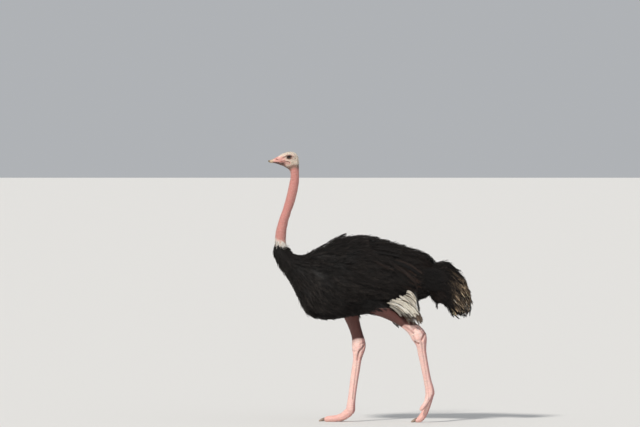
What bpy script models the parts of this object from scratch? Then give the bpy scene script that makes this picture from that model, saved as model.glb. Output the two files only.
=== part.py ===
"""A life-size male ostrich, walking, as a still display model.

The bird faces -Y and its left side is +X.  Lengths are metres, the floor is Z = 0.
Head, neck and trunk are one loft through ribs in the side plane, parted with thin cuts.
Each leg is a loft along its bones, parted at the hock; toes, claws, wings and plumes are
lofts of their own, and whatever touches a neighbour is cut back from it by GAP.
"""
import bmesh
import bpy
import math
from mathutils import Matrix, Vector

# Driving dimensions --------------------------------------------------------------------
GAP = 0.0003            # clearance between neighbouring solids
SHARPEST = 2.0          # most that a sharp edge is moved, in clearances
BODY_SIDES = 20         # facets round the head, neck and trunk
LIMB_SIDES = 12         # facets round a leg
TOE_SIDES = 10          # facets round a toe or claw
TAIL_SIDES = 21         # facets round the tail
PLUME_SIDES = 15        # facets round the plumes of a wing
WING_SIDES = 14         # points round each band of a wing

EYE_RADIUS = 0.019
EYE_CENTRE = Vector((0.0235, -0.626, 2.054))
NOSTRIL_CENTRE = Vector((0.0235, -0.720, 2.037))
EAR_CENTRE = Vector((0.0385, -0.577, 2.044))
MOUTH_HEIGHT = 2.0150
GAPE_CORNER_Y = -0.622
GAPE_SLIT = 0.0012
BILL_BASE = 5           # rib where the bill's horn ends

# Ribs of the body: top of the rib (y, z), bottom of the rib (y, z), half width,
# height of the widest place from -1 (bottom) to 1 (top), and fullness of the section.
HEAD_RIBS = (
    ((-0.789, 2.0265), (-0.789, 2.0180), 0.0075, 0.0, 0.90),   # tip of the bill
    ((-0.782, 2.0285), (-0.782, 2.0125), 0.0140, 0.0, 0.85),
    ((-0.765, 2.0320), (-0.766, 2.0080), 0.0190, 0.0, 0.85),
    ((-0.742, 2.0420), (-0.743, 2.0065), 0.0225, 0.0, 0.90),
    ((-0.715, 2.0570), (-0.716, 1.9990), 0.0255, 0.1, 1.00),   # nostrils
    ((-0.688, 2.0755), (-0.692, 1.9900), 0.0290, 0.2, 1.00),   # base of the bill
    ((-0.660, 2.0870), (-0.667, 1.9780), 0.0350, 0.3, 1.00),
    ((-0.628, 2.0950), (-0.645, 1.9645), 0.0395, 0.3, 1.00),   # eyes
    ((-0.598, 2.0940), (-0.631, 1.9540), 0.0400, 0.3, 1.00),
    ((-0.572, 2.0810), (-0.622, 1.9420), 0.0370, 0.2, 1.00),   # ears
    ((-0.556, 2.0520), (-0.617, 1.9280), 0.0335, 0.1, 1.00),
    ((-0.549, 1.9850), (-0.6145, 1.9050), 0.0315, 0.0, 1.00),  # top of the neck
)
# Stations of the neck: centre (y, z), half depth, half width.
NECK_STATIONS = (
    ((-0.5835, 1.868), 0.0360, 0.0320),
    ((-0.5970, 1.798), 0.0380, 0.0330),
    ((-0.6165, 1.7205), 0.0370, 0.0335),
    ((-0.6405, 1.643), 0.0350, 0.0340),
    ((-0.6680, 1.5655), 0.0360, 0.0360),
    ((-0.6870, 1.488), 0.0400, 0.0400),
    ((-0.6940, 1.420), 0.0430, 0.0450),
)
TRUNK_RIBS = (
    ((-0.633, 1.352), (-0.744, 1.376), 0.062, 0.0, 1.0),      # foot of the white collar
    ((-0.602, 1.308), (-0.751, 1.322), 0.080, 0.0, 1.0),
    ((-0.560, 1.292), (-0.730, 1.258), 0.103, 0.0, 1.0),
    ((-0.500, 1.292), (-0.683, 1.176), 0.138, 0.0, 1.0),
    ((-0.430, 1.331), (-0.622, 1.088), 0.180, 0.0, 1.0),
    ((-0.350, 1.376), (-0.565, 0.986), 0.220, 0.0, 0.95),     # breast
    ((-0.265, 1.420), (-0.499, 0.850), 0.248, 0.0, 0.92),
    ((-0.150, 1.440), (-0.365, 0.796), 0.266, 0.05, 0.90),
    ((-0.030, 1.444), (-0.170, 0.820), 0.274, 0.05, 0.90),    # middle of the back
    ((0.090, 1.418), (0.030, 0.850), 0.268, 0.05, 0.90),
    ((0.210, 1.383), (0.200, 0.885), 0.246, 0.05, 0.92),
    ((0.320, 1.346), (0.330, 0.930), 0.206, 0.05, 0.95),
    ((0.410, 1.318), (0.410, 0.955), 0.160, 0.05, 1.0),       # rump
    ((0.468, 1.268), (0.455, 0.990), 0.112, 0.05, 1.0),
    ((0.505, 1.200), (0.490, 1.060), 0.055, 0.0, 1.0),
)
# Bands of the wing: rib number along the trunk, lowest and highest angle round the rib.
WING_BANDS = (
    (6.72, 0.05, 0.42),
    (6.85, -0.25, 0.80),
    (7.20, -0.48, 1.05),
    (8.00, -0.58, 1.22),
    (9.00, -0.56, 1.26),
    (10.0, -0.50, 1.24),
    (11.0, -0.42, 1.16),
    (11.9, -0.40, 1.00),
    (12.6, -0.42, 0.70),
    (12.85, -0.25, 0.35),
)
WING_LIFT = 0.075       # how far the wing stands off the trunk, as a share of the rib
WING_THICKNESS = 0.085  # half its thickness, as a share of the rib

TAIL_RIBS = (
    ((0.400, 1.215), (0.415, 1.060), 0.060, 0.0, 1.0),        # inside the rump
    ((0.455, 1.235), (0.448, 1.010), 0.105, 0.0, 1.0),
    ((0.520, 1.240), (0.500, 0.935), 0.142, 0.0, 0.95),
    ((0.585, 1.243), (0.548, 0.925), 0.165, 0.0, 0.92),
    ((0.647, 1.227), (0.592, 0.900), 0.176, 0.0, 0.90),
    ((0.703, 1.183), (0.626, 0.852), 0.172, 0.0, 0.90),
    ((0.745, 1.116), (0.655, 0.820), 0.158, 0.0, 0.90),
    ((0.772, 1.036), (0.694, 0.815), 0.132, 0.0, 0.92),
    ((0.786, 0.956), (0.738, 0.826), 0.090, 0.0, 1.0),
    ((0.787, 0.905), (0.770, 0.860), 0.035, 0.0, 1.0),        # tips of the plumes
)
TAIL_LOCKS = 7          # locks that the plume tips fall into
TAIL_LOCK_DEPTH = 0.12

# Stations of a leg: centre (x, y, z), half depth in the side plane, half width.
LEG_STATIONS = {
    "right": (
        ((-0.135, -0.236, 1.075), 0.045, 0.040),              # knee, inside the trunk
        ((-0.135, -0.222, 1.035), 0.082, 0.066),
        ((-0.132, -0.196, 0.955), 0.095, 0.076),
        ((-0.122, -0.148, 0.830), 0.060, 0.054),
        ((-0.105, -0.111, 0.715), 0.046, 0.043),
        ((-0.096, -0.093, 0.652), 0.047, 0.044),
        ((-0.089, -0.085, 0.600), 0.054, 0.048),              # hock
        ((-0.082, -0.088, 0.552), 0.049, 0.044),
        ((-0.074, -0.096, 0.490), 0.034, 0.030),
        ((-0.064, -0.109, 0.405), 0.0325, 0.026),
        ((-0.052, -0.125, 0.300), 0.031, 0.0255),
        ((-0.042, -0.138, 0.200), 0.030, 0.028),
        ((-0.037, -0.146, 0.135), 0.033, 0.036),
        ((-0.035, -0.150, 0.090), 0.036, 0.041),              # foot joint
        ((-0.034, -0.151, 0.062), 0.024, 0.028),
    ),
    "left": (
        ((0.140, -0.090, 1.000), 0.045, 0.040),
        ((0.140, -0.056, 0.976), 0.082, 0.066),
        ((0.138, 0.012, 0.930), 0.092, 0.076),
        ((0.132, 0.115, 0.866), 0.057, 0.053),
        ((0.122, 0.210, 0.809), 0.044, 0.042),
        ((0.115, 0.288, 0.757), 0.043, 0.042),
        ((0.110, 0.345, 0.712), 0.054, 0.047),
        ((0.107, 0.380, 0.662), 0.060, 0.048),                # hock, half flexed
        ((0.103, 0.396, 0.605), 0.042, 0.040),
        ((0.099, 0.402, 0.545), 0.034, 0.030),
        ((0.090, 0.429, 0.405), 0.030, 0.026),
        ((0.084, 0.446, 0.320), 0.030, 0.0255),
        ((0.080, 0.460, 0.262), 0.034, 0.032),
        ((0.078, 0.464, 0.222), 0.036, 0.039),
        ((0.077, 0.462, 0.194), 0.024, 0.027),
    ),
}
HOCK_CUTS = {           # point and direction (y, z) of the cuts above and below the hock
    "right": (((-0.096, 0.648), (0.2, -1.0)), ((-0.093, 0.510), (-0.1, -1.0))),
    "left": (((0.300, 0.742), (1.0, -0.62)), ((0.400, 0.585), (0.1, -1.0))),
}
# Stations of the toes: centre (x, y, z), half height, half width.
INNER_TOE_STATIONS = {
    "right": (
        ((-0.034, -0.136, 0.096), 0.022, 0.024),
        ((-0.034, -0.162, 0.076), 0.036, 0.031),
        ((-0.032, -0.205, 0.044), 0.031, 0.030),
        ((-0.030, -0.255, 0.027), 0.027, 0.0285),
        ((-0.028, -0.300, 0.023), 0.026, 0.0285),
        ((-0.027, -0.337, 0.020), 0.022, 0.024),
        ((-0.027, -0.354, 0.017), 0.012, 0.014),
    ),
    "left": (
        ((0.075, 0.466, 0.240), 0.022, 0.024),
        ((0.075, 0.461, 0.212), 0.034, 0.031),
        ((0.074, 0.450, 0.160), 0.030, 0.030),
        ((0.071, 0.434, 0.105), 0.027, 0.0285),
        ((0.068, 0.412, 0.056), 0.027, 0.0285),
        ((0.066, 0.383, 0.0225), 0.025, 0.0265),
        ((0.066, 0.352, 0.012), 0.013, 0.016),
    ),
}
OUTER_TOE_STATIONS = {
    "right": (
        ((-0.053, -0.140, 0.080), 0.016, 0.016),
        ((-0.062, -0.160, 0.060), 0.024, 0.021),
        ((-0.077, -0.192, 0.034), 0.021, 0.0195),
        ((-0.092, -0.225, 0.0185), 0.020, 0.0185),
        ((-0.105, -0.252, 0.0150), 0.018, 0.0165),
        ((-0.112, -0.266, 0.014), 0.009, 0.009),
    ),
    "left": (
        ((0.094, 0.470, 0.226), 0.016, 0.016),
        ((0.104, 0.460, 0.203), 0.023, 0.020),
        ((0.118, 0.442, 0.168), 0.020, 0.0185),
        ((0.130, 0.420, 0.135), 0.0185, 0.0175),
        ((0.139, 0.398, 0.108), 0.016, 0.0155),
        ((0.143, 0.387, 0.096), 0.008, 0.008),
    ),
}
CLAW_STATIONS = {
    "right": (
        ((-0.027, -0.336, 0.022), 0.0130, 0.0150),
        ((-0.027, -0.356, 0.020), 0.0140, 0.0150),
        ((-0.027, -0.376, 0.014), 0.0110, 0.0115),
        ((-0.027, -0.396, 0.006), 0.0045, 0.0050),
    ),
    "left": (
        ((0.066, 0.372, 0.026), 0.0130, 0.0150),
        ((0.066, 0.350, 0.018), 0.0140, 0.0150),
        ((0.066, 0.332, 0.009), 0.0105, 0.0115),
        ((0.066, 0.317, 0.002), 0.0045, 0.0050),
    ),
}
# Stations of the white plumes on the left wing: centre (x, y, z), half height, half thickness.
PLUME_STATIONS = (
    ((0.222, 0.105, 0.985), 0.030, 0.008),                    # roots, under the wing
    ((0.226, 0.150, 0.965), 0.055, 0.013),
    ((0.224, 0.220, 0.935), 0.075, 0.016),
    ((0.218, 0.290, 0.905), 0.078, 0.017),
    ((0.210, 0.350, 0.870), 0.064, 0.015),
    ((0.203, 0.395, 0.833), 0.038, 0.010),
    ((0.200, 0.415, 0.812), 0.014, 0.004),                    # tips
)
PLUME_LOCKS = 5
PLUME_LOCK_DEPTH = 0.12
FAR_PLUME_SHIFT = Vector((0.0, -0.128, -0.066))   # the right wing's plumes hang lower


# Helpers -------------------------------------------------------------------------------
def collection(name):
    """New collection in the scene."""
    made = bpy.data.collections.new(name)
    bpy.context.scene.collection.children.link(made)
    return made


def finish(name, colour, roughness):
    """Material of one kind of surface."""
    material = bpy.data.materials.new(name)
    material.use_nodes = True
    shader = material.node_tree.nodes["Principled BSDF"]
    shader.inputs["Base Color"].default_value = (*colour, 1.0)
    shader.inputs["Roughness"].default_value = roughness
    shader.inputs["Metallic"].default_value = 0.0
    material.diffuse_color = (*colour, 1.0)
    return material


def flatten(station):
    """A station's numbers as one flat list."""
    numbers = []
    for item in station:
        if isinstance(item, tuple):
            numbers.extend(item)
        else:
            numbers.append(item)
    return numbers


def along(stations, s):
    """The station at place s, on a smooth curve through all of them."""
    last = len(stations) - 1
    i = min(int(s), last - 1)
    t = s - i
    rows = [flatten(stations[min(max(i + k, 0), last)]) for k in (-1, 0, 1, 2)]
    return [
        0.5 * (2 * b + (c - a) * t + (2 * a - 5 * b + 4 * c - d) * t * t
               + (3 * b - a - 3 * c + d) * t ** 3)
        for a, b, c, d in zip(*rows)
    ]


def rib_point(ribs, s, angle, scale=1.0):
    """Point at an angle round the rib at place s; angle 0 is the left side, a quarter turn the top."""
    top_y, top_z, low_y, low_z, half_width, widest, full = along(ribs, s)
    c, v = math.cos(angle), math.sin(angle)
    side = half_width * math.copysign(abs(c) ** full, c) * scale
    rise = (v + widest * (1 - v * v)) * scale
    middle_y, middle_z = (top_y + low_y) / 2, (top_z + low_z) / 2
    return Vector((side, middle_y + rise * (top_y - low_y) / 2, middle_z + rise * (top_z - low_z) / 2))


def rib_rings(ribs, first, last, steps, sides, locks=0, lock_depth=0.0):
    """Rings from one rib to another, with each end drawn in by half the clearance.

    Locks are waves round the ring that deepen towards the last rib.
    """
    rings = []
    turn = 2 * math.pi / sides
    for n in range(first * steps, last * steps + 1):
        s = n / steps
        depth = lock_depth * (s / last) ** 2
        ring = [
            rib_point(ribs, s, k * turn, 1 - depth * (0.5 - 0.5 * math.cos(locks * k * turn)))
            for k in range(sides)
        ]
        rings.append(ring)
    for end, s, inward in ((0, first, 1), (-1, last, -1)):
        top_y, top_z, low_y, low_z = along(ribs, s)[:4]
        ahead = Vector((0.0, top_z - low_z, low_y - top_y)).normalized()
        rings[end] = [point + ahead * (inward * GAP / 2) for point in rings[end]]
    return rings


def limb_rings(stations, steps, sides, locks=0, lock_depth=0.0):
    """Rings square to a centre line that bends in the side plane."""
    rings = []
    last = len(stations) - 1
    for n in range(last * steps + 1):
        s = n / steps
        x, y, z, depth, width = along(stations, s)
        before = Vector(along(stations, max(s - 0.2, 0.0))[:3])
        after = Vector(along(stations, min(s + 0.2, last))[:3])
        run = (after - before).normalized()
        across = Vector((1.0, 0.0, 0.0))
        across = (across - run * across.dot(run)).normalized()
        up = across.cross(run)
        wave = lock_depth * (s / last) ** 2
        ring = []
        for k in range(sides):
            angle = 2 * math.pi * k / sides
            scale = 1 - wave * (0.5 - 0.5 * math.cos(locks * angle))
            offset = across * (width * math.cos(angle)) + up * (depth * math.sin(angle))
            ring.append(Vector((x, y, z)) + offset * scale)
        rings.append(ring)
    return rings


def loft(name, rings, material, home):
    """Closed solid of flat triangles through rings of equal count."""
    bm = bmesh.new()
    rows = [[bm.verts.new(point) for point in ring] for ring in rings]
    count = len(rows[0])
    for row, following in zip(rows, rows[1:]):
        for k in range(count):
            bm.faces.new((row[k], row[(k + 1) % count], following[(k + 1) % count], following[k]))
    bm.faces.new(list(reversed(rows[0])))
    bm.faces.new(rows[-1])
    bmesh.ops.triangulate(bm, faces=bm.faces)
    bmesh.ops.recalc_face_normals(bm, faces=bm.faces)
    return solid(name, bm, material, home)


def solid(name, bm, material, home):
    """Object from a bmesh, smooth but for its sharp edges."""
    mesh = bpy.data.meshes.new(name)
    bm.to_mesh(mesh)
    bm.free()
    made = bpy.data.objects.new(name, mesh)
    home.objects.link(made)
    made.data.materials.append(material)
    made.data.shade_smooth()
    made.data.set_sharp_from_angle(angle=math.radians(40))
    return made


def ball(name, centre, radii, material, home, segments=12, rows=8):
    """Faceted ellipsoid."""
    bm = bmesh.new()
    place = Matrix.Translation(centre) @ Matrix.Diagonal((*radii, 1.0))
    bmesh.ops.create_uvsphere(bm, u_segments=segments, v_segments=rows, radius=1.0, matrix=place)
    return solid(name, bm, material, home)


def side_of_plane(whole, name, planes, material, home):
    """Copy of a solid with what lies beyond each plane taken away and the cut closed flat."""
    bm = bmesh.new()
    bm.from_mesh(whole.data)
    for point, outward in planes:
        outward = Vector(outward).normalized()
        bmesh.ops.bisect_plane(
            bm, geom=bm.verts[:] + bm.edges[:] + bm.faces[:], dist=1e-6,
            plane_co=Vector(point) - outward * GAP / 2, plane_no=outward, clear_outer=True)
        rim = [edge for edge in bm.edges if edge.is_boundary]
        bmesh.ops.holes_fill(bm, edges=rim, sides=0)
        bmesh.ops.recalc_face_normals(bm, faces=bm.faces)
    return solid(name, bm, material, home)


def remove(made):
    """Take an object and its mesh away."""
    mesh = made.data
    bpy.data.objects.remove(made)
    bpy.data.meshes.remove(mesh)


def cut_with(target, cutter):
    """Take a cutter out of a solid."""
    cutter.hide_render = True
    cutter.display_type = "WIRE"
    modifier = target.modifiers.new("cut", "BOOLEAN")
    modifier.operation = "DIFFERENCE"
    modifier.solver = "EXACT"
    modifier.object = cutter
    bpy.context.view_layer.update()
    graph = bpy.context.evaluated_depsgraph_get()
    mesh = bpy.data.meshes.new_from_object(target.evaluated_get(graph))
    target.modifiers.clear()
    old = target.data
    target.data = mesh
    mesh.name = target.name
    bpy.data.meshes.remove(old)


def clear(target, neighbour, cutters):
    """Cut a solid back from its neighbour by the clearance."""
    bm = bmesh.new()
    bm.from_mesh(neighbour.data)
    bm.normal_update()
    moves = [vert.normal * GAP * min(vert.calc_shell_factor(), SHARPEST) for vert in bm.verts]
    for vert, move in zip(bm.verts, moves):
        vert.co += move
    cutter = solid("cutter_" + neighbour.name, bm, neighbour.data.materials[0], cutters)
    cut_with(target, cutter)
    remove(cutter)


# Scene ---------------------------------------------------------------------------------
for old in list(bpy.data.objects):
    bpy.data.objects.remove(old)
ostrich = collection("ostrich")
cutters = collection("cutters")

neck_skin = finish("neck_skin", (0.60, 0.28, 0.23), 0.55)
face_down = finish("face_down", (0.66, 0.52, 0.44), 0.75)
bill_horn = finish("bill_horn", (0.72, 0.38, 0.32), 0.40)
eye_gloss = finish("eye_gloss", (0.05, 0.02, 0.015), 0.08)
white_plume = finish("white_plume", (0.62, 0.55, 0.46), 0.80)
black_plume = finish("black_plume", (0.016, 0.014, 0.013), 0.70)
tail_plume = finish("tail_plume", (0.030, 0.022, 0.017), 0.75)
leg_skin = finish("leg_skin", (0.80, 0.50, 0.42), 0.55)
claw_horn = finish("claw_horn", (0.30, 0.20, 0.15), 0.45)


# Head, neck and trunk ------------------------------------------------------------------
def neck_ribs():
    """Ribs square to the neck's centre line."""
    ribs = []
    last = len(NECK_STATIONS) - 1
    for n, ((y, z), depth, width) in enumerate(NECK_STATIONS):
        before = NECK_STATIONS[max(n - 1, 0)][0]
        after = NECK_STATIONS[min(n + 1, last)][0]
        run = Vector((after[0] - before[0], after[1] - before[1])).normalized()
        back = (y - run.y * depth, z + run.x * depth)
        front = (y + run.y * depth, z - run.x * depth)
        ribs.append((back, front, width, 0.0, 1.0))
    return tuple(ribs)


body_ribs = HEAD_RIBS + neck_ribs() + TRUNK_RIBS
NECK_START = len(HEAD_RIBS) - 1
TRUNK_START = len(HEAD_RIBS) + len(NECK_STATIONS)
LENGTHS = (             # name, first rib, last rib, rings to a rib, finish
    ("head", BILL_BASE, NECK_START, 2, face_down),
    ("neck_upper", NECK_START, NECK_START + 4, 1, neck_skin),
    ("neck_lower", NECK_START + 4, TRUNK_START - 1, 1, neck_skin),
    ("neck_collar", TRUNK_START - 1, TRUNK_START, 2, white_plume),
    ("neck_base", TRUNK_START, TRUNK_START + 3, 2, black_plume),
    ("trunk", TRUNK_START + 3, len(body_ribs) - 1, 2, black_plume),
)
lengths = {
    name: loft(name, rib_rings(body_ribs, first, last, steps, BODY_SIDES), material, ostrich)
    for name, first, last, steps, material in LENGTHS
}
head, trunk = lengths["head"], lengths["trunk"]

bill = loft("bill", rib_rings(body_ribs, 0, BILL_BASE, 2, BODY_SIDES), bill_horn, cutters)
above_mouth = ((0.0, 0.0, MOUTH_HEIGHT), (0.0, 0.0, -1.0))
below_mouth = ((0.0, 0.0, MOUTH_HEIGHT), (0.0, 0.0, 1.0))
bill_upper = side_of_plane(bill, "bill_upper", (above_mouth,), bill_horn, ostrich)
side_of_plane(bill, "bill_lower", (below_mouth,), bill_horn, ostrich)
remove(bill)

# Eyes sit in round sockets; nostrils and ears are hollows; the gape runs back under the eye.
for side, sign in (("left", 1), ("right", -1)):
    mirror = Vector((sign, 1, 1))
    eye = ball("eye_" + side, EYE_CENTRE * mirror, (EYE_RADIUS,) * 3, eye_gloss, ostrich)
    clear(head, eye, cutters)
    for target, centre, radii in (
        (bill_upper, NOSTRIL_CENTRE, (0.0045, 0.0070, 0.0026)),
        (head, EAR_CENTRE, (0.0060, 0.0055, 0.0075)),
    ):
        hollow = ball("hollow", centre * mirror, radii, face_down, cutters, 8, 5)
        cut_with(target, hollow)
        remove(hollow)
slit = bmesh.new()
bmesh.ops.create_cube(slit, size=1.0, matrix=Matrix.Translation(
    (0.0, GAPE_CORNER_Y - 0.05, MOUTH_HEIGHT)) @ Matrix.Diagonal((0.12, 0.10, GAPE_SLIT, 1.0)))
gape = solid("gape", slit, face_down, cutters)
cut_with(head, gape)
remove(gape)


# Wings ---------------------------------------------------------------------------------
def wing_rings(sign):
    """Bands bent round the trunk, standing a little off it."""
    rings = []
    for s, low, high in WING_BANDS:
        ring = []
        for k in range(WING_SIDES):
            turn = 2 * math.pi * k / WING_SIDES
            angle = (low + high) / 2 + (high - low) / 2 * math.cos(turn)
            scale = 1 + WING_LIFT + WING_THICKNESS * (math.sin(turn) - 1)
            point = rib_point(TRUNK_RIBS, s, angle, scale)
            ring.append(Vector((point.x * sign, point.y, point.z)))
        rings.append(ring)
    return rings


wings = {}
for side, sign in (("left", 1), ("right", -1)):
    wings[side] = loft("wing_" + side, wing_rings(sign), black_plume, ostrich)

# Tail ----------------------------------------------------------------------------------
tail_rings = rib_rings(TAIL_RIBS, 0, len(TAIL_RIBS) - 1, 2, TAIL_SIDES, TAIL_LOCKS, TAIL_LOCK_DEPTH)
tail = loft("tail", tail_rings, tail_plume, ostrich)


# Legs ----------------------------------------------------------------------------------
def plane(cut, sign):
    """Plane through a point (y, z) facing a direction (y, z), turned round by the sign."""
    (y, z), (run_y, run_z) = cut
    return ((0.0, y, z), (0.0, sign * run_y, sign * run_z))


floor = (((0.0, 0.0, -GAP / 2), (0.0, 0.0, -1.0)),)
shanks = {}
for side in ("left", "right"):
    leg = loft("leg", limb_rings(LEG_STATIONS[side], 2, LIMB_SIDES), leg_skin, cutters)
    upper, lower = HOCK_CUTS[side]
    shanks[side] = side_of_plane(leg, "shank_" + side, (plane(upper, 1),), leg_skin, ostrich)
    side_of_plane(leg, "hock_" + side, (plane(upper, -1), plane(lower, 1)), leg_skin, ostrich)
    side_of_plane(leg, "tarsus_" + side, (plane(lower, -1),), leg_skin, ostrich)
    forms = [leg]
    for name, stations, steps, material in (
        ("toe_inner_", INNER_TOE_STATIONS, 2, leg_skin),
        ("toe_outer_", OUTER_TOE_STATIONS, 1, leg_skin),
        ("claw_", CLAW_STATIONS, 1, claw_horn),
    ):
        form = loft("form", limb_rings(stations[side], steps, TOE_SIDES), material, cutters)
        piece = side_of_plane(form, name + side, floor, material, ostrich)
        for neighbour in forms:
            clear(piece, neighbour, cutters)
        forms.append(form)
    for form in forms:
        remove(form)

# White plumes under the wings ----------------------------------------------------------
trunk_form = side_of_plane(trunk, "trunk_form", (), black_plume, cutters)
for side, sign in (("left", 1), ("right", -1)):
    rings = limb_rings(PLUME_STATIONS, 1, PLUME_SIDES, PLUME_LOCKS, PLUME_LOCK_DEPTH)
    for point in (point for ring in rings for point in ring):
        point.x *= sign
        if side == "right":
            point += FAR_PLUME_SHIFT
    plumes = loft("primaries_" + side, rings, white_plume, ostrich)
    clear(plumes, wings[side], cutters)
    clear(plumes, trunk_form, cutters)
    clear(tail, wings[side], cutters)
    clear(trunk, shanks[side], cutters)
    clear(trunk, wings[side], cutters)
clear(tail, trunk_form, cutters)
remove(trunk_form)

# The whole bird stands centred over the origin -------------------------------------------
base = bpy.data.objects.new("bird_frame", None)
ostrich.objects.link(base)
corners = [made.matrix_world @ vert.co for made in ostrich.objects if made.type == "MESH"
           for vert in made.data.vertices]
middle_x = (min(c.x for c in corners) + max(c.x for c in corners)) / 2
middle_y = (min(c.y for c in corners) + max(c.y for c in corners)) / 2
for made in ostrich.objects:
    if made.type == "MESH":
        made.parent = base
base.location = (-middle_x, -middle_y, 0.0)
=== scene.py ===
import math

import bmesh
import bpy
import numpy as np
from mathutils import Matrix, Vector
from mathutils.bvhtree import BVHTree


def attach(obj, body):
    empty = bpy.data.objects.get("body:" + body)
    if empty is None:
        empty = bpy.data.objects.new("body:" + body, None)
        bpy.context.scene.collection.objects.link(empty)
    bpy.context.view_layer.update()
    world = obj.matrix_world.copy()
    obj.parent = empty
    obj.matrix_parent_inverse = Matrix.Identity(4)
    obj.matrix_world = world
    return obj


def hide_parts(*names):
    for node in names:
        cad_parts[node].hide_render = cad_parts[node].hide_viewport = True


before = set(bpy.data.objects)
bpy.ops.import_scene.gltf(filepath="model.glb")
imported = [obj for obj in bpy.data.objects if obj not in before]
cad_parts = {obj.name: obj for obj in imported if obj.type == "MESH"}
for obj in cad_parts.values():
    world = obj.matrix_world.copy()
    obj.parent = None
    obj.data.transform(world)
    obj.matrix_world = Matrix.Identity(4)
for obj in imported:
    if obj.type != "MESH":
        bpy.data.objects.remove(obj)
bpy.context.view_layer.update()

# Camera -----------------------------------------------------------------------------
# A long lens far off on the bird's left, at the height of its head, looking square across
# the walk with the bird right of the middle of the view.
VIEW_WIDTH = 4.96       # how much of the studio is taken in at the bird
LENS_MM = 300.0
SENSOR_MM = 36.0
RISE = 0.0734           # how far the camera stands above its aim, in view widths
CAMERA_REACH = 2000.0
AIM = Vector((0.0, -0.386, 1.616))
camera_data = bpy.data.cameras.new("camera")
camera_data.lens = LENS_MM
camera_data.sensor_width = SENSOR_MM
camera_data.clip_end = CAMERA_REACH
camera = bpy.data.objects.new("camera", camera_data)
camera.location = (VIEW_WIDTH * LENS_MM / SENSOR_MM, AIM.y, AIM.z + VIEW_WIDTH * RISE)
camera.rotation_euler = (AIM - camera.location).to_track_quat("-Z", "Y").to_euler()
bpy.context.scene.collection.objects.link(camera)
bpy.context.scene.camera = camera

# Floor and lights -------------------------------------------------------------------
# A plain pale studio floor, a soft key light high on the bird's left and ahead of it,
# a weak fill from behind its left side, and an even pale surround.


def add_object(name, mesh):
    """Object at the origin with its place in its mesh."""
    made = bpy.data.objects.new(name, mesh)
    bpy.context.scene.collection.objects.link(made)
    return made


def node_material(name, roughness):
    """Material and its Principled shader."""
    material = bpy.data.materials.new(name)
    material.use_nodes = True
    shader = material.node_tree.nodes["Principled BSDF"]
    shader.inputs["Roughness"].default_value = roughness
    return material, shader


FLOOR_REACH = 900.0
FLOOR_GREY = (0.74, 0.73, 0.71, 1.0)
SURROUND_GREY = (0.86, 0.89, 0.93, 1.0)
SURROUND_STRENGTH = 0.50
floor_mesh = bpy.data.meshes.new("studio_floor")
floor_mesh.from_pydata(
    [(x * FLOOR_REACH, y * FLOOR_REACH, 0.0) for x, y in ((-1, -1), (1, -1), (1, 1), (-1, 1))],
    [], [(0, 1, 2, 3)])
floor = add_object("studio_floor", floor_mesh)
floor_material, floor_shader = node_material("studio_floor", 0.9)
floor_shader.inputs["Base Color"].default_value = FLOOR_GREY
floor_mesh.materials.append(floor_material)

for name, direction, spread, strength, colour in (
    ("key", (0.62, -0.42, 0.66), 8.0, 2.8, (1.0, 0.965, 0.91)),
    ("fill", (0.70, 0.55, 0.45), 60.0, 0.3, (0.92, 0.95, 1.0)),
):
    light_data = bpy.data.lights.new(name, "SUN")
    light_data.angle = math.radians(spread)
    light_data.energy = strength
    light_data.color = colour
    light = bpy.data.objects.new(name, light_data)
    light.location = Vector(direction) * 10
    light.rotation_euler = Vector(direction).to_track_quat("Z", "Y").to_euler()
    bpy.context.scene.collection.objects.link(light)
world = bpy.data.worlds.new("surround")
world.use_nodes = True
surround = world.node_tree.nodes["Background"]
surround.inputs["Color"].default_value = SURROUND_GREY
surround.inputs["Strength"].default_value = SURROUND_STRENGTH
bpy.context.scene.world = world
bpy.context.scene.view_settings.view_transform = "Standard"

# Skin -------------------------------------------------------------------------------
# One skin from face to toes: bare, finely wrinkled and pink on the neck and legs, scaled on
# the shins and feet, drawn in by the coat's depth where plumes grow.  Head, neck and trunk
# are rings wrapped on the solids; the legs are fused and joined on.
SPINE = (               # centre of a rib (y, z) and how it leans, in degrees
    (-0.690, 2.033, 87), (-0.664, 2.032, 86), (-0.6365, 2.030, 83), (-0.6145, 2.024, 77),
    (-0.597, 2.010, 69), (-0.5865, 1.987, 60), (-0.5818, 1.945, 42), (-0.5825, 1.905, 16),
    (-0.5850, 1.862, -7), (-0.597, 1.798, -12), (-0.6165, 1.7205, -16), (-0.6405, 1.643, -18),
    (-0.668, 1.5655, -16), (-0.687, 1.488, -9), (-0.694, 1.420, -7), (-0.6885, 1.364, -11),
    (-0.6765, 1.315, -4), (-0.645, 1.275, 12), (-0.5915, 1.234, 32), (-0.526, 1.2095, 51),
    (-0.4575, 1.181, 61), (-0.382, 1.135, 67), (-0.2575, 1.118, 71), (-0.100, 1.132, 77),
    (0.060, 1.134, 84), (0.205, 1.134, 88), (0.325, 1.138, 90), (0.410, 1.1365, 90),
    (0.510, 1.095, 86), (0.5665, 1.084, 83), (0.6195, 1.0635, 80),
)
HEAD_END, NECK_END, SPINE_END = 7, 15, len(SPINE) - 1
NAPE_HOLLOW = (16, 21)  # ribs between which neck and back face each other
BILL_LAP = 0.40         # how far the skin laps on to the bill, in ribs
HEAD_SIDES, BODY_SIDES = 192, 96
HEAD_RINGS, NECK_RINGS, TRUNK_RINGS = 146, 104, 72
LEG_VOXEL = 0.0032
LEG_SHARE = 0.52        # share of the fused legs' faces that is kept
THINNEST = 0.02         # least radius of the trunk's skin
COAT_DEPTHS = (         # place on the spine, depth of the coat there
    (0, 0.0006), (3, 0.0016), (7, 0.0010), (13.6, 0.0006), (14.6, 0.006), (16, 0.014),
    (18, 0.018), (20, 0.024), (26, 0.026), (27, 0.028), (28, 0.035), (30, 0.044),
)
EYE = np.array((0.0235, -0.626, 2.054))
EYE_RADIUS = 0.019
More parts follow.
